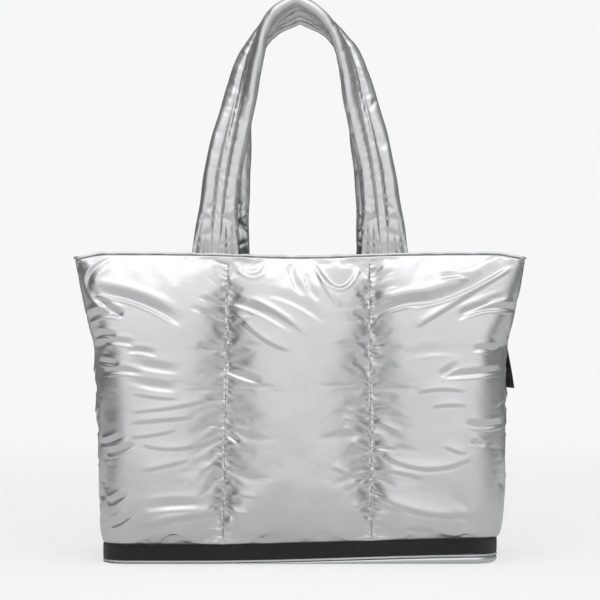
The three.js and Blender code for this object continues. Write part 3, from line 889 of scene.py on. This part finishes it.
# %% Base
FLOOR_TOP = box_mm("base_panel")[1].z
STEP_IN = -(max(BAND_THICKNESS, PIPING_DIAMETER) + 2 * SEAM_GAP)
BASE_PROFILE = [
    dict(offset=-40.0, low=0.0, floor=0.0),
    dict(offset=-9.0, low=0.0, floor=0.0),
    dict(offset=-6.0, low=0.0, floor=0.0),
    dict(offset=-3.0, low=0.08, floor=0.0),
    dict(offset=-1.2, low=0.24, floor=0.0),
    dict(offset=-0.2, low=0.45, floor=0.0),
    dict(offset=0.0, low=0.6, floor=0.0),
    dict(offset=-0.2, low=0.78, floor=0.0),
    dict(offset=-0.9, low=0.93, floor=0.0),
    dict(offset=-2.0, low=1.0, floor=0.0),
    dict(offset=STEP_IN, low=1.0, floor=0.0),
    dict(offset=STEP_IN, low=1.0, floor=0.8),
    dict(offset=STEP_IN - 2.0, low=1.0, floor=1.0),
    dict(offset=-40.0, low=1.0, floor=1.0),
]


def base_shape(name):
    rows = len(BASE_PROFILE) - 1
    piece = object_from(name, grid_bmesh(360, rows))
    mesh = piece.data
    around = attribute(mesh, "across") % 1.0
    index = np.round(attribute(mesh, "up") * rows).astype(int)
    read = {key: np.array([row[key] for row in BASE_PROFILE])[index] for key in BASE_PROFILE[0]}
    x, y = ring_point(around, section_at(np.zeros(len(around))), read["offset"])
    z = mix(read["low"] * rim_top(x), FLOOR_TOP, read["floor"])
    set_coordinates(mesh, np.stack([x, y, z], 1) * MM)
    close_mesh(mesh, merge=SAME_POINT, fill=True)
    return piece


base_panel = base_shape("padded_base")
print(f"base rim reaches {FLOOR_TOP:.1f} mm at the bag's floor")

# %% [markdown]
# ## Handles
# A handle is a strap sewn into two stuffed tubes with a stitched channel between them. It leaves the
# hem flat, stands up, and turns on its way so that it lies across a hand at the top. Its line runs
# through a table of places, and at each step of that line the section is turned and scaled.

# %% Handle line
STRAP_WIDTH = 46
STRAP_THICKNESS = 13
STRAP_SPREAD = 83
STRAP_TAIL = 28
STRAP_APEX_SPACING = 46
FRONT_STRAP = dict(rise=249, sway=-4, shift=0, tuck=0, splay=0, turn="turn")
BACK_STRAP = dict(rise=244, sway=0, shift=3, tuck=5.5, splay=4, turn="back_turn")
STRAP_SECTIONS = [
    dict(rise=0.0, reach=1.0, wide=1.0, thick=0.36, turn=0.0, back_turn=0.0),
    dict(rise=0.05, reach=0.992, wide=0.95, thick=0.75, turn=0.0, back_turn=0.0),
    dict(rise=0.2, reach=0.955, wide=0.84, thick=1.0, turn=0.0, back_turn=0.0),
    dict(rise=0.36, reach=0.89, wide=0.8, thick=1.0, turn=0.05, back_turn=0.1),
    dict(rise=0.6, reach=0.722, wide=0.79, thick=1.0, turn=0.3, back_turn=0.5),
    dict(rise=0.72, reach=0.64, wide=0.79, thick=1.0, turn=0.48, back_turn=0.7),
    dict(rise=0.8, reach=0.563, wide=0.79, thick=0.96, turn=0.65, back_turn=0.82),
    dict(rise=0.88, reach=0.44, wide=0.78, thick=0.94, turn=0.88, back_turn=0.92),
    dict(rise=0.945, reach=0.285, wide=0.78, thick=0.92, turn=1.0, back_turn=0.88),
    dict(rise=0.985, reach=0.12, wide=0.78, thick=0.9, turn=1.0, back_turn=0.76),
    dict(rise=1.0, reach=0.0, wide=0.78, thick=0.9, turn=1.0, back_turn=0.74),
]


def between(low, high, at, first, last):
    return (low * (last - at) + high * (at - first)) / (last - first)


def smooth_line(points, steps=24):
    """A centripetal curve through the points, as many short steps."""
    points = [2 * points[0] - points[1], *points, 2 * points[-1] - points[-2]]
    run = []
    for p0, p1, p2, p3 in zip(points, points[1:], points[2:], points[3:]):
        k1 = np.linalg.norm(p1 - p0) ** 0.5
        k2 = k1 + np.linalg.norm(p2 - p1) ** 0.5
        k3 = k2 + np.linalg.norm(p3 - p2) ** 0.5
        for at in np.linspace(k1, k2, steps, endpoint=False):
            first = between(p0, p1, at, 0, k1)
            second = between(p1, p2, at, k1, k2)
            third = between(p2, p3, at, k2, k3)
            near, far = between(first, second, at, 0, k2), between(second, third, at, k1, k3)
            run.append(between(near, far, at, k1, k2))
    run.append(points[-2])
    return np.array(run)


def strap_line(handle):
    tail_y = -(HEM_DEPTH / 2 - HEM_THICKNESS - SEAM_GAP - STRAP_THICKNESS * 0.36 / 2)
    half = [np.array([-STRAP_SPREAD, tail_y, BODY_HEIGHT - STRAP_TAIL])]
    for row in STRAP_SECTIONS:
        lean = float(smoothstep(0.02, 1, row["rise"]))
        y = mix(tail_y, -STRAP_APEX_SPACING / 2, lean)
        half.append(np.array([-row["reach"] * STRAP_SPREAD, y, BODY_HEIGHT + row["rise"] * handle["rise"]]))
    mirrored = [np.array([-point[0], point[1], point[2]]) for point in reversed(half[:-1])]
    for point in half + mirrored:
        rise = (point[2] - BODY_HEIGHT) / handle["rise"]
        side = np.sign(point[0])
        low = 1 - smoothstep(0.15, 0.65, rise)
        high = smoothstep(0.3, 0.65, rise) - smoothstep(0.9, 1, rise)
        point[0] += low * (handle["shift"] - side * handle["tuck"]) + high * side * handle["splay"]
        point[0] += handle["sway"] * smoothstep(0.8, 1, rise)
    return smooth_line(half + mirrored)


def even_steps(line, count):
    runs = np.linalg.norm(np.diff(line, axis=0), axis=1)
    travelled = np.concatenate([[0], np.cumsum(runs)])
    at = np.linspace(0, travelled[-1], count)
    return np.stack([np.interp(at, travelled, line[:, axis]) for axis in range(3)], 1), at


front_path, front_travel = even_steps(strap_line(FRONT_STRAP), 381)
back_path, back_travel = even_steps(strap_line(BACK_STRAP), 381)
print(f"the handles are {front_travel[-1]:.0f} and {back_travel[-1]:.0f} mm long")

# %% [markdown]
# The strap's section is two round lobes and a flat channel. Stitches down the channel pull the fabric
# into short puckers, and a stuffed tube also creases across where it bends. Both are worked out from
# how far along the strap and how far across it a point lies.

# %% Strap surface
LOBE_CENTRE = 0.555
LOBE_HALF = 0.445
CHANNEL_HEIGHT = 0.5


def strap_half_thickness(across):
    inside = np.clip((np.abs(across) - LOBE_CENTRE) / LOBE_HALF, -1, 1)
    lobe = np.sqrt(np.maximum(1 - np.abs(inside) ** 2.5, 0))
    channel = CHANNEL_HEIGHT * smoothstep(0.2, 0.08, np.abs(across))
    return np.maximum(lobe, channel)


def strap_puckers(travel, across, outside, length, seed):
    """Heights of the creases: fine ones at the channel's stitches, broad ones across the tubes."""
    dice = random.Random(seed)
    heights = np.zeros_like(travel)
    for lobe in (-1, 1):
        for face in (-1, 1):
            mask = (np.where(across < 0, -1, 1) == lobe) & (outside == face)
            at = 24.0
            while at < length - 24:
                reach = dice.uniform(0.15, 0.6)
                slant = dice.uniform(-4, 14)
                depth = dice.uniform(0.25, 0.7) * dice.choice((-1, -1, 1))
                off = (travel - at - slant * (np.abs(across) - 0.15)) / dice.uniform(0.9, 1.8)
                fade = np.exp(-((np.maximum(np.abs(across) - 0.12, 0) / reach) ** 2)) * mask
                heights += depth * crest(off) * fade
                at += dice.uniform(3.5, 9)
    at = 30.0
    while at < length - 30:
        broad = dice.uniform(2, 5)
        middle = dice.choice((-0.95, -0.6, 0.6, 0.95))
        off = (travel - at - dice.uniform(-16, 16) * across) / broad
        fade = np.exp(-(((across - middle) / 0.3) ** 2))
        heights -= dice.uniform(0.3, 1.0) * crest(off) * fade
        at += dice.uniform(8, 18)
    return heights


# %% [markdown]
# Where a handle leaves the hem its padding ends, so the strap is pinched flat there and a few deep
# creases run up from the stitching. They are charted as shares across the strap and millimetres along
# it, and both legs of a handle share them. Small pleats fan out of the hem between them, where the
# full width of the padded strap is gathered into its stitching.

# %% Creases at the foot of a leg
FOOT_CREASES = [
    dict(at=34, across=-0.9, slant=-7, broad=1.6, rise=-1.0),
    dict(at=44, across=-0.55, slant=9, broad=1.8, rise=-1.2),
    dict(at=56, across=-0.8, slant=12, broad=2.0, rise=-1.1),
    dict(at=64, across=-0.4, slant=-10, broad=1.5, rise=0.9),
    dict(at=72, across=-0.35, slant=14, broad=1.8, rise=-0.9),
    dict(at=38, across=0.5, slant=10, broad=1.5, rise=-1.0),
    dict(at=52, across=0.85, slant=-12, broad=1.9, rise=-1.2),
    dict(at=61, across=0.45, slant=-9, broad=1.8, rise=-1.1),
    dict(at=70, across=0.75, slant=14, broad=1.6, rise=0.9),
    dict(at=80, across=0.4, slant=10, broad=1.9, rise=-0.9),
]

FOOT_PLEATS = [
    dict(across=-0.86, lean=0.10, broad=0.06, rise=-1.2, reach=26),
    dict(across=-0.62, lean=0.16, broad=0.07, rise=1.2, reach=22),
    dict(across=-0.42, lean=-0.05, broad=0.06, rise=-1.4, reach=32),
    dict(across=-0.2, lean=0.08, broad=0.05, rise=1.2, reach=24),
    dict(across=0.18, lean=-0.06, broad=0.05, rise=1.3, reach=26),
    dict(across=0.36, lean=0.04, broad=0.06, rise=-1.4, reach=36),
    dict(across=0.6, lean=-0.12, broad=0.06, rise=1.1, reach=24),
    dict(across=0.82, lean=-0.08, broad=0.07, rise=-1.2, reach=28),
]


def foot_pleats(travel, across, length):
    heights = np.zeros_like(travel)
    from_foot = np.minimum(travel, length - travel) - STRAP_TAIL
    for row in FOOT_PLEATS:
        off = (across - row["across"] - row["lean"] * from_foot / row["reach"]) / row["broad"]
        heights += row["rise"] * crest(off) * np.exp(-((from_foot / row["reach"]) ** 2))
    return heights


def foot_creases(travel, across, length):
    heights = np.zeros_like(travel)
    from_foot = np.minimum(travel, length - travel)
    for row in FOOT_CREASES:
        off = (from_foot - row["at"] - row["slant"] * (across - row["across"])) / row["broad"]
        fade = np.exp(-(((across - row["across"]) / 0.38) ** 2))
        heights += row["rise"] * crest(off) * fade
    return heights


# %% [markdown]
# The handle is one grid bent twice: its across direction runs once round the two-lobed section and
# its up direction follows the line. At each step the section is turned about the line, so that it
# faces forward at the hem and lies flat in the hand at the top.

# %% Handle shape
STRAP_CUTS_AROUND = 128


def strap(name, path, steps, handle, seed, turn_side):
    rings_along = len(path) - 1
    piece = object_from(name, grid_bmesh(STRAP_CUTS_AROUND, rings_along))
    mesh = piece.data
    around = attribute(mesh, "across") % 1.0
    row = np.round(attribute(mesh, "up") * rings_along).astype(int)
    centre, travel, length = path[row], steps[row], steps[-1]
    tangents = np.gradient(path, axis=0)
    tangents /= np.linalg.norm(tangents, axis=1, keepdims=True)
    tangent = tangents[row]
    rise = np.clip((centre[:, 2] - BODY_HEIGHT) / handle["rise"], 0, 1)
    away = np.array([0.0, -1.0, 0.0])
    normal = away - (tangent @ away)[:, None] * tangent
    normal /= np.linalg.norm(normal, axis=1, keepdims=True)
    angle = -np.pi / 2 * read_table(STRAP_SECTIONS, "rise", handle["turn"], rise)
    turned = normal * np.cos(angle)[:, None] + np.cross(tangent, normal) * np.sin(angle)[:, None]
    flat = np.cross(tangent, turned)
    across = np.cos(2 * np.pi * around)
    outside = np.where(around < 0.5, 1, -1)
    half_width = STRAP_WIDTH / 2 * read_table(STRAP_SECTIONS, "rise", "wide", rise)
    half_thick = STRAP_THICKNESS / 2 * read_table(STRAP_SECTIONS, "rise", "thick", rise)
    soft = np.clip(half_thick / 6.5, 0, 1) ** 2
    creases = strap_puckers(travel, across, outside, length, seed) * soft
    creases += foot_creases(travel, across, length) * np.clip(half_thick / 4, 0, 1)
    creases += foot_pleats(travel, across, length)
    bulge = strap_half_thickness(across)
    thickness = half_thick * bulge + creases * np.minimum(1, bulge * 1.6)
    wave = 0.35 * np.sin(travel / 17 + seed) + 0.25 * np.sin(travel / 7.3 + 2 * seed)
    width = half_width + wave * (rise > 0.01)
    points = centre + flat * (across * width)[:, None] + turned * (outside * thickness)[:, None]
    points[:, 1] *= turn_side
    set_coordinates(mesh, points * MM)
    close_mesh(mesh, merge=2 * SAME_POINT, fill=True)
    print(f"{name}: {len(mesh.polygons)} faces")
    return piece


front_handle = strap("padded_handle_front", front_path, front_travel, FRONT_STRAP, 101, 1)
back_handle = strap("padded_handle_back", back_path, back_travel, BACK_STRAP, 202, -1)

# %% [markdown]
# ## Side tab
# A short tab of black webbing is sewn to one side by its top edge. Its free end swings out and turns,
# so that from the front it shows as a narrow dark wedge.

# %% Tab
TAB_LENGTH = 40
TAB_WIDTH = 20
TAB_THICKNESS = 1.6
TAB_TOP = 208
TAB_SWING = 4
TAB_TWIST = math.radians(17)


def webbing_tab(name):
    bm = grid_bmesh(10, 20)
    copied = bmesh.ops.extrude_face_region(bm, geom=bm.faces[:], use_keep_orig=True)
    lifted = [item for item in copied["geom"] if isinstance(item, bmesh.types.BMVert)]
    bmesh.ops.translate(bm, verts=lifted, vec=(0, 0, 1))
    piece = object_from(name, bm)
    mesh = piece.data
    across = (attribute(mesh, "across") - 0.5) * TAB_WIDTH
    hang = 1 - attribute(mesh, "up")
    thickness = (coordinates(mesh)[:, 2] - 0.5) * TAB_THICKNESS
    low, high = box_mm("side_tab")
    seat = low.x + TAB_THICKNESS / 2
    angle = TAB_TWIST * hang
    height = TAB_TOP - hang * TAB_LENGTH
    curl = 0.6 * np.sin(hang * np.pi)
    x = seat + TAB_SWING * hang**1.3 - across * np.sin(angle) + thickness * np.cos(angle) + curl
    y = across * np.cos(angle) + thickness * np.sin(angle)
    set_coordinates(mesh, np.stack([x, y, height], 1) * MM)
    close_mesh(mesh)
    return piece


side_tab = webbing_tab("webbing_tab")
print(f"tab hangs {TAB_LENGTH} mm")

# %% [markdown]
# ## Stitches
# Thread is thin, but it is what makes a seam look sewn. Each stitch is one low, round-ended drop of a
# few faces, laid on the finished surface where a ray from outside meets it. All the stitches of one
# thread are one mesh.

# %% Stitch helper
STITCH_LENGTH = 1.5
STITCH_PITCH = 2.3
THREAD = 0.9
THREAD_LIFT = 0.2


def surface_of(piece):
    bm = bmesh.new()
    bm.from_mesh(piece.data)
    tree = BVHTree.FromBMesh(bm)
    bm.free()
    return tree


def add_stitch(bm, place, along, outward):
    along = along.normalized()
    outward = (outward - outward.dot(along) * along).normalized()
    sideways = along.cross(outward)
    turn = Matrix((sideways, along, outward)).transposed().to_4x4()
    size = Matrix.Diagonal((THREAD / 2, STITCH_LENGTH / 2, THREAD / 2, 1))
    where = Matrix.Translation(place) @ turn @ Matrix.Scale(MM, 4) @ size
    bmesh.ops.create_uvsphere(bm, u_segments=6, v_segments=4, radius=1, matrix=where)


def stitch_line(bm, tree, points, toward):
    """Stitches on the surface along points (mm), seen from outside in the direction toward."""
    toward = Vector(toward)
    found = []
    for point in points:
        origin = Vector(point) * MM - toward * 0.1
        hit, normal, _, _ = tree.ray_cast(origin, toward, 0.16)
        if hit is not None:
            found.append((hit - toward * THREAD_LIFT * MM, normal if normal.dot(toward) < 0 else -normal))
    for (place, normal), (ahead, _) in zip(found, found[1:]):
        if (ahead - place).length < 3 * STITCH_PITCH * MM:
            add_stitch(bm, place, ahead - place, normal)
    return len(found)


# %% [markdown]
# The seams' thread lies in the valley between two columns, and the hem's runs just above its lip, so
# each row is found by rays at the heights and places that the shapes above were laid with.

# %% Seam and hem stitches
def seam_thread(name, panel, turn):
    bm = bmesh.new()
    tree = surface_of(panel)
    count = 0
    for seam_x in (left_seam_x, right_seam_x):
        heights = np.arange(26, HEM_FOOT - 3, STITCH_PITCH)
        points = [(seam_x(height), -turn * HEM_DEPTH, height) for height in heights]
        count += stitch_line(bm, tree, points, (0, turn, 0))
    piece = object_from(name, bm)
    print(f"{name}: {count} stitches")
    return piece


def hem_thread(name):
    bm = bmesh.new()
    tree = surface_of(top_hem)
    count = 0
    for turn in (1, -1):
        xs = np.arange(-HEM_WIDTH / 2 + 4, HEM_WIDTH / 2 - 4, STITCH_PITCH)
        points = [(x, -turn * HEM_DEPTH / 2, HEM_FOOT + hem_lip + 0.6 + float(mouth_line(x))) for x in xs]
        count += stitch_line(bm, tree, points, (0, turn, 0))
    piece = object_from(name, bm)
    print(f"{name}: {count} stitches")
    return piece


front_thread = seam_thread("seam_thread_front", front_panel, 1)
back_thread = seam_thread("seam_thread_back", back_panel, -1)
mouth_thread = hem_thread("hem_thread")

# %% [markdown]
# ## Materials
# The shell is nylon with a thin metal coating: mostly a metal's reflection, broken up by slow ripples
# and tiny creases that never quite press out. One node group gives that relief, a weave for the
# webbing, and a slow change of shade, so every fabric can share it, each with its own numbers.

# %% Fabric relief group
def new_group(name, inputs, outputs):
    group = bpy.data.node_groups.new(name, "ShaderNodeTree")
    for label, value in inputs:
        socket = group.interface.new_socket(label, in_out="INPUT", socket_type="NodeSocketFloat")
        socket.default_value = value
    for label in outputs:
        group.interface.new_socket(label, in_out="OUTPUT", socket_type="NodeSocketFloat")
    return group, group.nodes.new("NodeGroupInput"), group.nodes.new("NodeGroupOutput")


def math_node(tree, operation, first, second):
    node = tree.nodes.new("ShaderNodeMath")
    node.operation = operation
    for socket, value in zip(node.inputs, (first, second)):
        if isinstance(value, (int, float)):
            socket.default_value = value
        else:
            tree.links.new(value, socket)
    return node.outputs[0]


def noise_node(tree, vector, scale):
    node = tree.nodes.new("ShaderNodeTexNoise")
    node.inputs["Detail"].default_value = 2
    node.inputs["Roughness"].default_value = 0.5
    tree.links.new(vector, node.inputs["Vector"])
    tree.links.new(scale, node.inputs["Scale"])
    return node.outputs["Fac"]


def fabric_relief_group():
    inputs = [
        ("Threads per metre", 1700.0),
        ("Weave depth", 0.05),
        ("Crease scale", 60.0),
        ("Crease depth", 0.5),
        ("Ripple scale", 14.0),
        ("Ripple depth", 0.5),
    ]
    tree, given, result = new_group("fabric relief", inputs, ["Height", "Shade"])
    coordinate = tree.nodes.new("ShaderNodeTexCoord").outputs["Object"]
    split = tree.nodes.new("ShaderNodeSeparateXYZ")
    tree.links.new(coordinate, split.inputs[0])
    warp_sum = math_node(tree, "ADD", split.outputs["X"], split.outputs["Y"])
    weave = []
    for run in (warp_sum, split.outputs["Z"]):
        phase = math_node(tree, "MULTIPLY", run, given.outputs["Threads per metre"])
        weave.append(math_node(tree, "SINE", math_node(tree, "MULTIPLY", phase, 6.2832), 0))
    woven = math_node(tree, "MULTIPLY", math_node(tree, "MULTIPLY", *weave), given.outputs["Weave depth"])
    crease = noise_node(tree, coordinate, given.outputs["Crease scale"])
    creased = math_node(tree, "MULTIPLY", crease, given.outputs["Crease depth"])
    ripple = noise_node(tree, coordinate, given.outputs["Ripple scale"])
    rippled = math_node(tree, "MULTIPLY", ripple, given.outputs["Ripple depth"])
    total = math_node(tree, "ADD", math_node(tree, "ADD", woven, creased), rippled)
    tree.links.new(total, result.inputs["Height"])
    tree.links.new(ripple, result.inputs["Shade"])
    return tree


fabric_relief = fabric_relief_group()
print("relief group inputs:", len(fabric_relief.interface.items_tree))


# %% [markdown]
# Each fabric is one Principled shader that the group feeds: its shade picks a colour and a roughness,
# and its height gives a slight bump over the real folds of the mesh.

# %% Material helper
def fabric_material(name, dark, light, metallic, rough, relief, bump_distance, weave_sheen=0.0):
    """dark and light are the two ends of the slow shade; rough is a low and a high roughness."""
    material = bpy.data.materials.new(name)
    material.use_nodes = True
    tree = material.node_tree
    shader = tree.nodes["Principled BSDF"]
    shader.inputs["Metallic"].default_value = metallic
    shader.inputs["Sheen Weight"].default_value = weave_sheen
    group = tree.nodes.new("ShaderNodeGroup")
    group.node_tree = fabric_relief
    for label, value in relief.items():
        group.inputs[label].default_value = value
    ramp = tree.nodes.new("ShaderNodeValToRGB")
    ramp.color_ramp.elements[0].position = 0.3
    ramp.color_ramp.elements[1].position = 0.7
    ramp.color_ramp.elements[0].color = (*dark, 1)
    ramp.color_ramp.elements[1].color = (*light, 1)
    tree.links.new(group.outputs["Shade"], ramp.inputs["Fac"])
    tree.links.new(ramp.outputs["Color"], shader.inputs["Base Color"])
    spread = tree.nodes.new("ShaderNodeMapRange")
    spread.inputs["From Min"].default_value = 0.3
    spread.inputs["From Max"].default_value = 0.7
    spread.inputs["To Min"].default_value = rough[0]
    spread.inputs["To Max"].default_value = rough[1]
    tree.links.new(group.outputs["Shade"], spread.inputs["Value"])
    tree.links.new(spread.outputs["Result"], shader.inputs["Roughness"])
    bump = tree.nodes.new("ShaderNodeBump")
    bump.inputs["Distance"].default_value = bump_distance * MM
    tree.links.new(group.outputs["Height"], bump.inputs["Height"])
    tree.links.new(bump.outputs["Normal"], shader.inputs["Normal"])
    return material


silver_nylon = fabric_material(
    "silver nylon",
    dark=(0.74, 0.745, 0.755),
    light=(0.8, 0.805, 0.81),
    metallic=0.92,
    rough=(0.24, 0.3),
    relief={
        "Weave depth": 0.0,
        "Crease scale": 45,
        "Crease depth": 0.3,
        "Ripple scale": 11,
        "Ripple depth": 1.4,
    },
    bump_distance=1.6,
)
silver_piping = fabric_material(
    "silver piping",
    dark=(0.7, 0.7, 0.71),
    light=(0.8, 0.8, 0.81),
    metallic=0.6,
    rough=(0.38, 0.48),
    relief={"Crease scale": 160, "Crease depth": 0.5, "Ripple scale": 30, "Ripple depth": 0.4},
    bump_distance=1.0,
)
black_webbing = fabric_material(
    "black webbing",
    dark=(0.008, 0.008, 0.009),
    light=(0.016, 0.016, 0.017),
    metallic=0.0,
    rough=(0.5, 0.65),
    relief={
        "Threads per metre": 900,
        "Weave depth": 0.5,
        "Crease scale": 90,
        "Crease depth": 0.5,
        "Ripple depth": 0.3,
    },
    bump_distance=0.6,
    weave_sheen=0.2,
)
grey_thread = fabric_material(
    "grey thread",
    dark=(0.03, 0.03, 0.032),
    light=(0.06, 0.06, 0.062),
    metallic=0.0,
    rough=(0.5, 0.6),
    relief={"Crease scale": 400, "Crease depth": 0.2, "Ripple depth": 0.1},
    bump_distance=0.3,
)
print("materials:", len(bpy.data.materials))

# %% [markdown]
# ## Which piece stands for which solid
# Every piece here rides on the frame's one body and takes the place of the solid it was made from.
# The walls, base and handles are padded; the hem, band, piping and tab are single strips of cloth.

PIECES = [
    (front_panel, "front_panel", "silver_nylon", silver_nylon, 0.8),
    (back_panel, "back_panel", "silver_nylon", silver_nylon, 0.8),
    (right_gusset, "right_gusset", "silver_nylon", silver_nylon, 0.6),
    (left_gusset, "left_gusset", "silver_nylon", silver_nylon, 0.6),
    (base_panel, "base_panel", "silver_nylon", silver_nylon, 0.7),
    (front_handle, "front_handle", "silver_nylon", silver_nylon, 0.8),
    (back_handle, "back_handle", "silver_nylon", silver_nylon, 0.8),
    (top_hem, "top_hem", "silver_nylon", silver_nylon, None),
    (base_band, "base_band", "black_webbing", black_webbing, None),
    (base_piping, "base_piping", "silver_piping", silver_piping, None),
    (side_tab, "side_tab", "black_webbing", black_webbing, None),
]
for piece, node, slot, material, fill in PIECES:
    piece.data.materials.append(material)
    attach(piece, "root")
    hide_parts(node)

for piece in (front_thread, back_thread, mouth_thread):
    piece.data.materials.append(grey_thread)
    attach(piece, "root")

print(len(PIECES), "pieces dressed")

# %% [markdown]
# ## Studio
# A pale floor runs up into a pale backdrop, so no horizon shows. Silver looks like what surrounds it,
# so the paper glows a little by itself: evenly where the camera sees it, and more dimly where the
# bag mirrors it, which keeps the foot of the bag grey.

# %% Floor and backdrop
def studio_sweep():
    bm = bmesh.new()
    profile = [(-4.0, 0.0), (1.6, 0.0)]
    for step in range(1, 13):
        angle = math.pi / 2 * step / 12
        profile.append((1.6 + 0.8 * math.sin(angle), 0.8 * (1 - math.cos(angle))))
    profile.append((2.4, 4.0))
    verts = [bm.verts.new((-5, y, z)) for y, z in profile]
    edges = [bm.edges.new(pair) for pair in zip(verts, verts[1:])]
    swept = bmesh.ops.extrude_edge_only(bm, edges=edges)
    moved = [item for item in swept["geom"] if isinstance(item, bmesh.types.BMVert)]
    bmesh.ops.translate(bm, verts=moved, vec=(10, 0, 0))
    bmesh.ops.recalc_face_normals(bm, faces=bm.faces[:])
    return object_from("studio_sweep", bm)


sweep = studio_sweep()


PAPER_TONE = 0.45
SEEN_GLOW = (0.6, 0.93)
MIRRORED_GLOW = (0.24, 0.16)


def paper_material():
    """Paper that glows a little. Its glow is even far away and dimmer where the bag mirrors it."""
    material = bpy.data.materials.new("studio paper")
    material.use_nodes = True
    tree = material.node_tree
    shader = tree.nodes["Principled BSDF"]
    shader.inputs["Roughness"].default_value = 0.9
    shader.inputs["Specular IOR Level"].default_value = 0.0
    shader.inputs["Emission Color"].default_value = (1, 1, 1, 1)
    place = tree.nodes.new("ShaderNodeSeparateXYZ")
    tree.links.new(tree.nodes.new("ShaderNodeTexCoord").outputs["Object"], place.inputs[0])
    seen = tree.nodes.new("ShaderNodeLightPath").outputs["Is Camera Ray"]

    def along_floor(near, far):
        ramp = tree.nodes.new("ShaderNodeMapRange")
        ramp.interpolation_type = "SMOOTHSTEP"
        for label, value in (("From Min", 0.4), ("From Max", 1.9), ("To Min", near), ("To Max", far)):
            ramp.inputs[label].default_value = value
        tree.links.new(place.outputs["Y"], ramp.inputs["Value"])
        return ramp.outputs["Result"]

    tree.links.new(along_floor(PAPER_TONE, 0.0), shader.inputs["Base Color"])
    glow = tree.nodes.new("ShaderNodeMix")
    tree.links.new(seen, glow.inputs["Factor"])
    tree.links.new(along_floor(*MIRRORED_GLOW), glow.inputs["A"])
    tree.links.new(along_floor(*SEEN_GLOW), glow.inputs["B"])
    tree.links.new(glow.outputs["Result"], shader.inputs["Emission Strength"])
    return material


sweep.data.materials.append(paper_material())


# %% [markdown]
# One wide, weak lamp hangs above and in front. It only deepens the shade under the bag, because the
# room around gives most of the light.

# %% Lights
def soft_light(name, place, target, size, power):
    light = bpy.data.lights.new(name, "AREA")
    light.shape = "RECTANGLE"
    light.size, light.size_y = size
    light.energy = power
    lamp = bpy.data.objects.new(name, light)
    lamp.location = place
    lamp.rotation_euler = (Vector(target) - Vector(place)).to_track_quat("-Z", "Y").to_euler()
    bpy.context.scene.collection.objects.link(lamp)
    return lamp


MIDDLE = (0, 0, 0.25)
soft_light("top_box", (0, -1.1, 2.0), MIDDLE, (2.4, 1.3), 5)

# %% [markdown]
# The rest of the room is a soft gradient: middling grey ahead, bright above, and darker at both sides.
# It is what the silver shows: grey where the cloth stands upright, white where a fold tilts up and
# dark where the bag turns away to its sides.

# %% Room
ROOM_TONES = [(0.0, 0.82), (0.2, 0.84), (0.45, 0.9), (0.75, 0.93), (1.0, 0.85)]
SIDE_TONES = (0.12, 0.24)


def studio_room():
    world = bpy.data.worlds.new("studio room")
    world.use_nodes = True
    tree = world.node_tree
    direction = tree.nodes.new("ShaderNodeSeparateXYZ")
    tree.links.new(tree.nodes.new("ShaderNodeTexCoord").outputs["Generated"], direction.inputs[0])
    height = tree.nodes.new("ShaderNodeValToRGB")
    height.color_ramp.interpolation = "EASE"
    stops = height.color_ramp.elements
    for index, (position, tone) in enumerate(ROOM_TONES):
        stop = stops[index] if index < len(stops) else stops.new(position)
        stop.position = position
        stop.color = (tone, tone, tone, 1)
    tree.links.new(direction.outputs["Z"], height.inputs["Fac"])
    shade = height.outputs["Color"]
    for side, tone in zip((-1, 1), SIDE_TONES):
        reach = tree.nodes.new("ShaderNodeMapRange")
        reach.interpolation_type = "SMOOTHSTEP"
        steps = (("From Min", 0.4 * side), ("From Max", 0.92 * side), ("To Min", 1), ("To Max", tone))
        for label, value in steps:
            reach.inputs[label].default_value = value
        tree.links.new(direction.outputs["X"], reach.inputs["Value"])
        scaled = tree.nodes.new("ShaderNodeVectorMath")
        scaled.operation = "SCALE"
        tree.links.new(shade, scaled.inputs[0])
        tree.links.new(reach.outputs["Result"], scaled.inputs["Scale"])
        shade = scaled.outputs[0]
    tree.links.new(shade, tree.nodes["Background"].inputs["Color"])
    return world


bpy.context.scene.world = studio_room()
bpy.context.scene.view_settings.view_transform = "Standard"
print("lights:", len(bpy.data.lights))
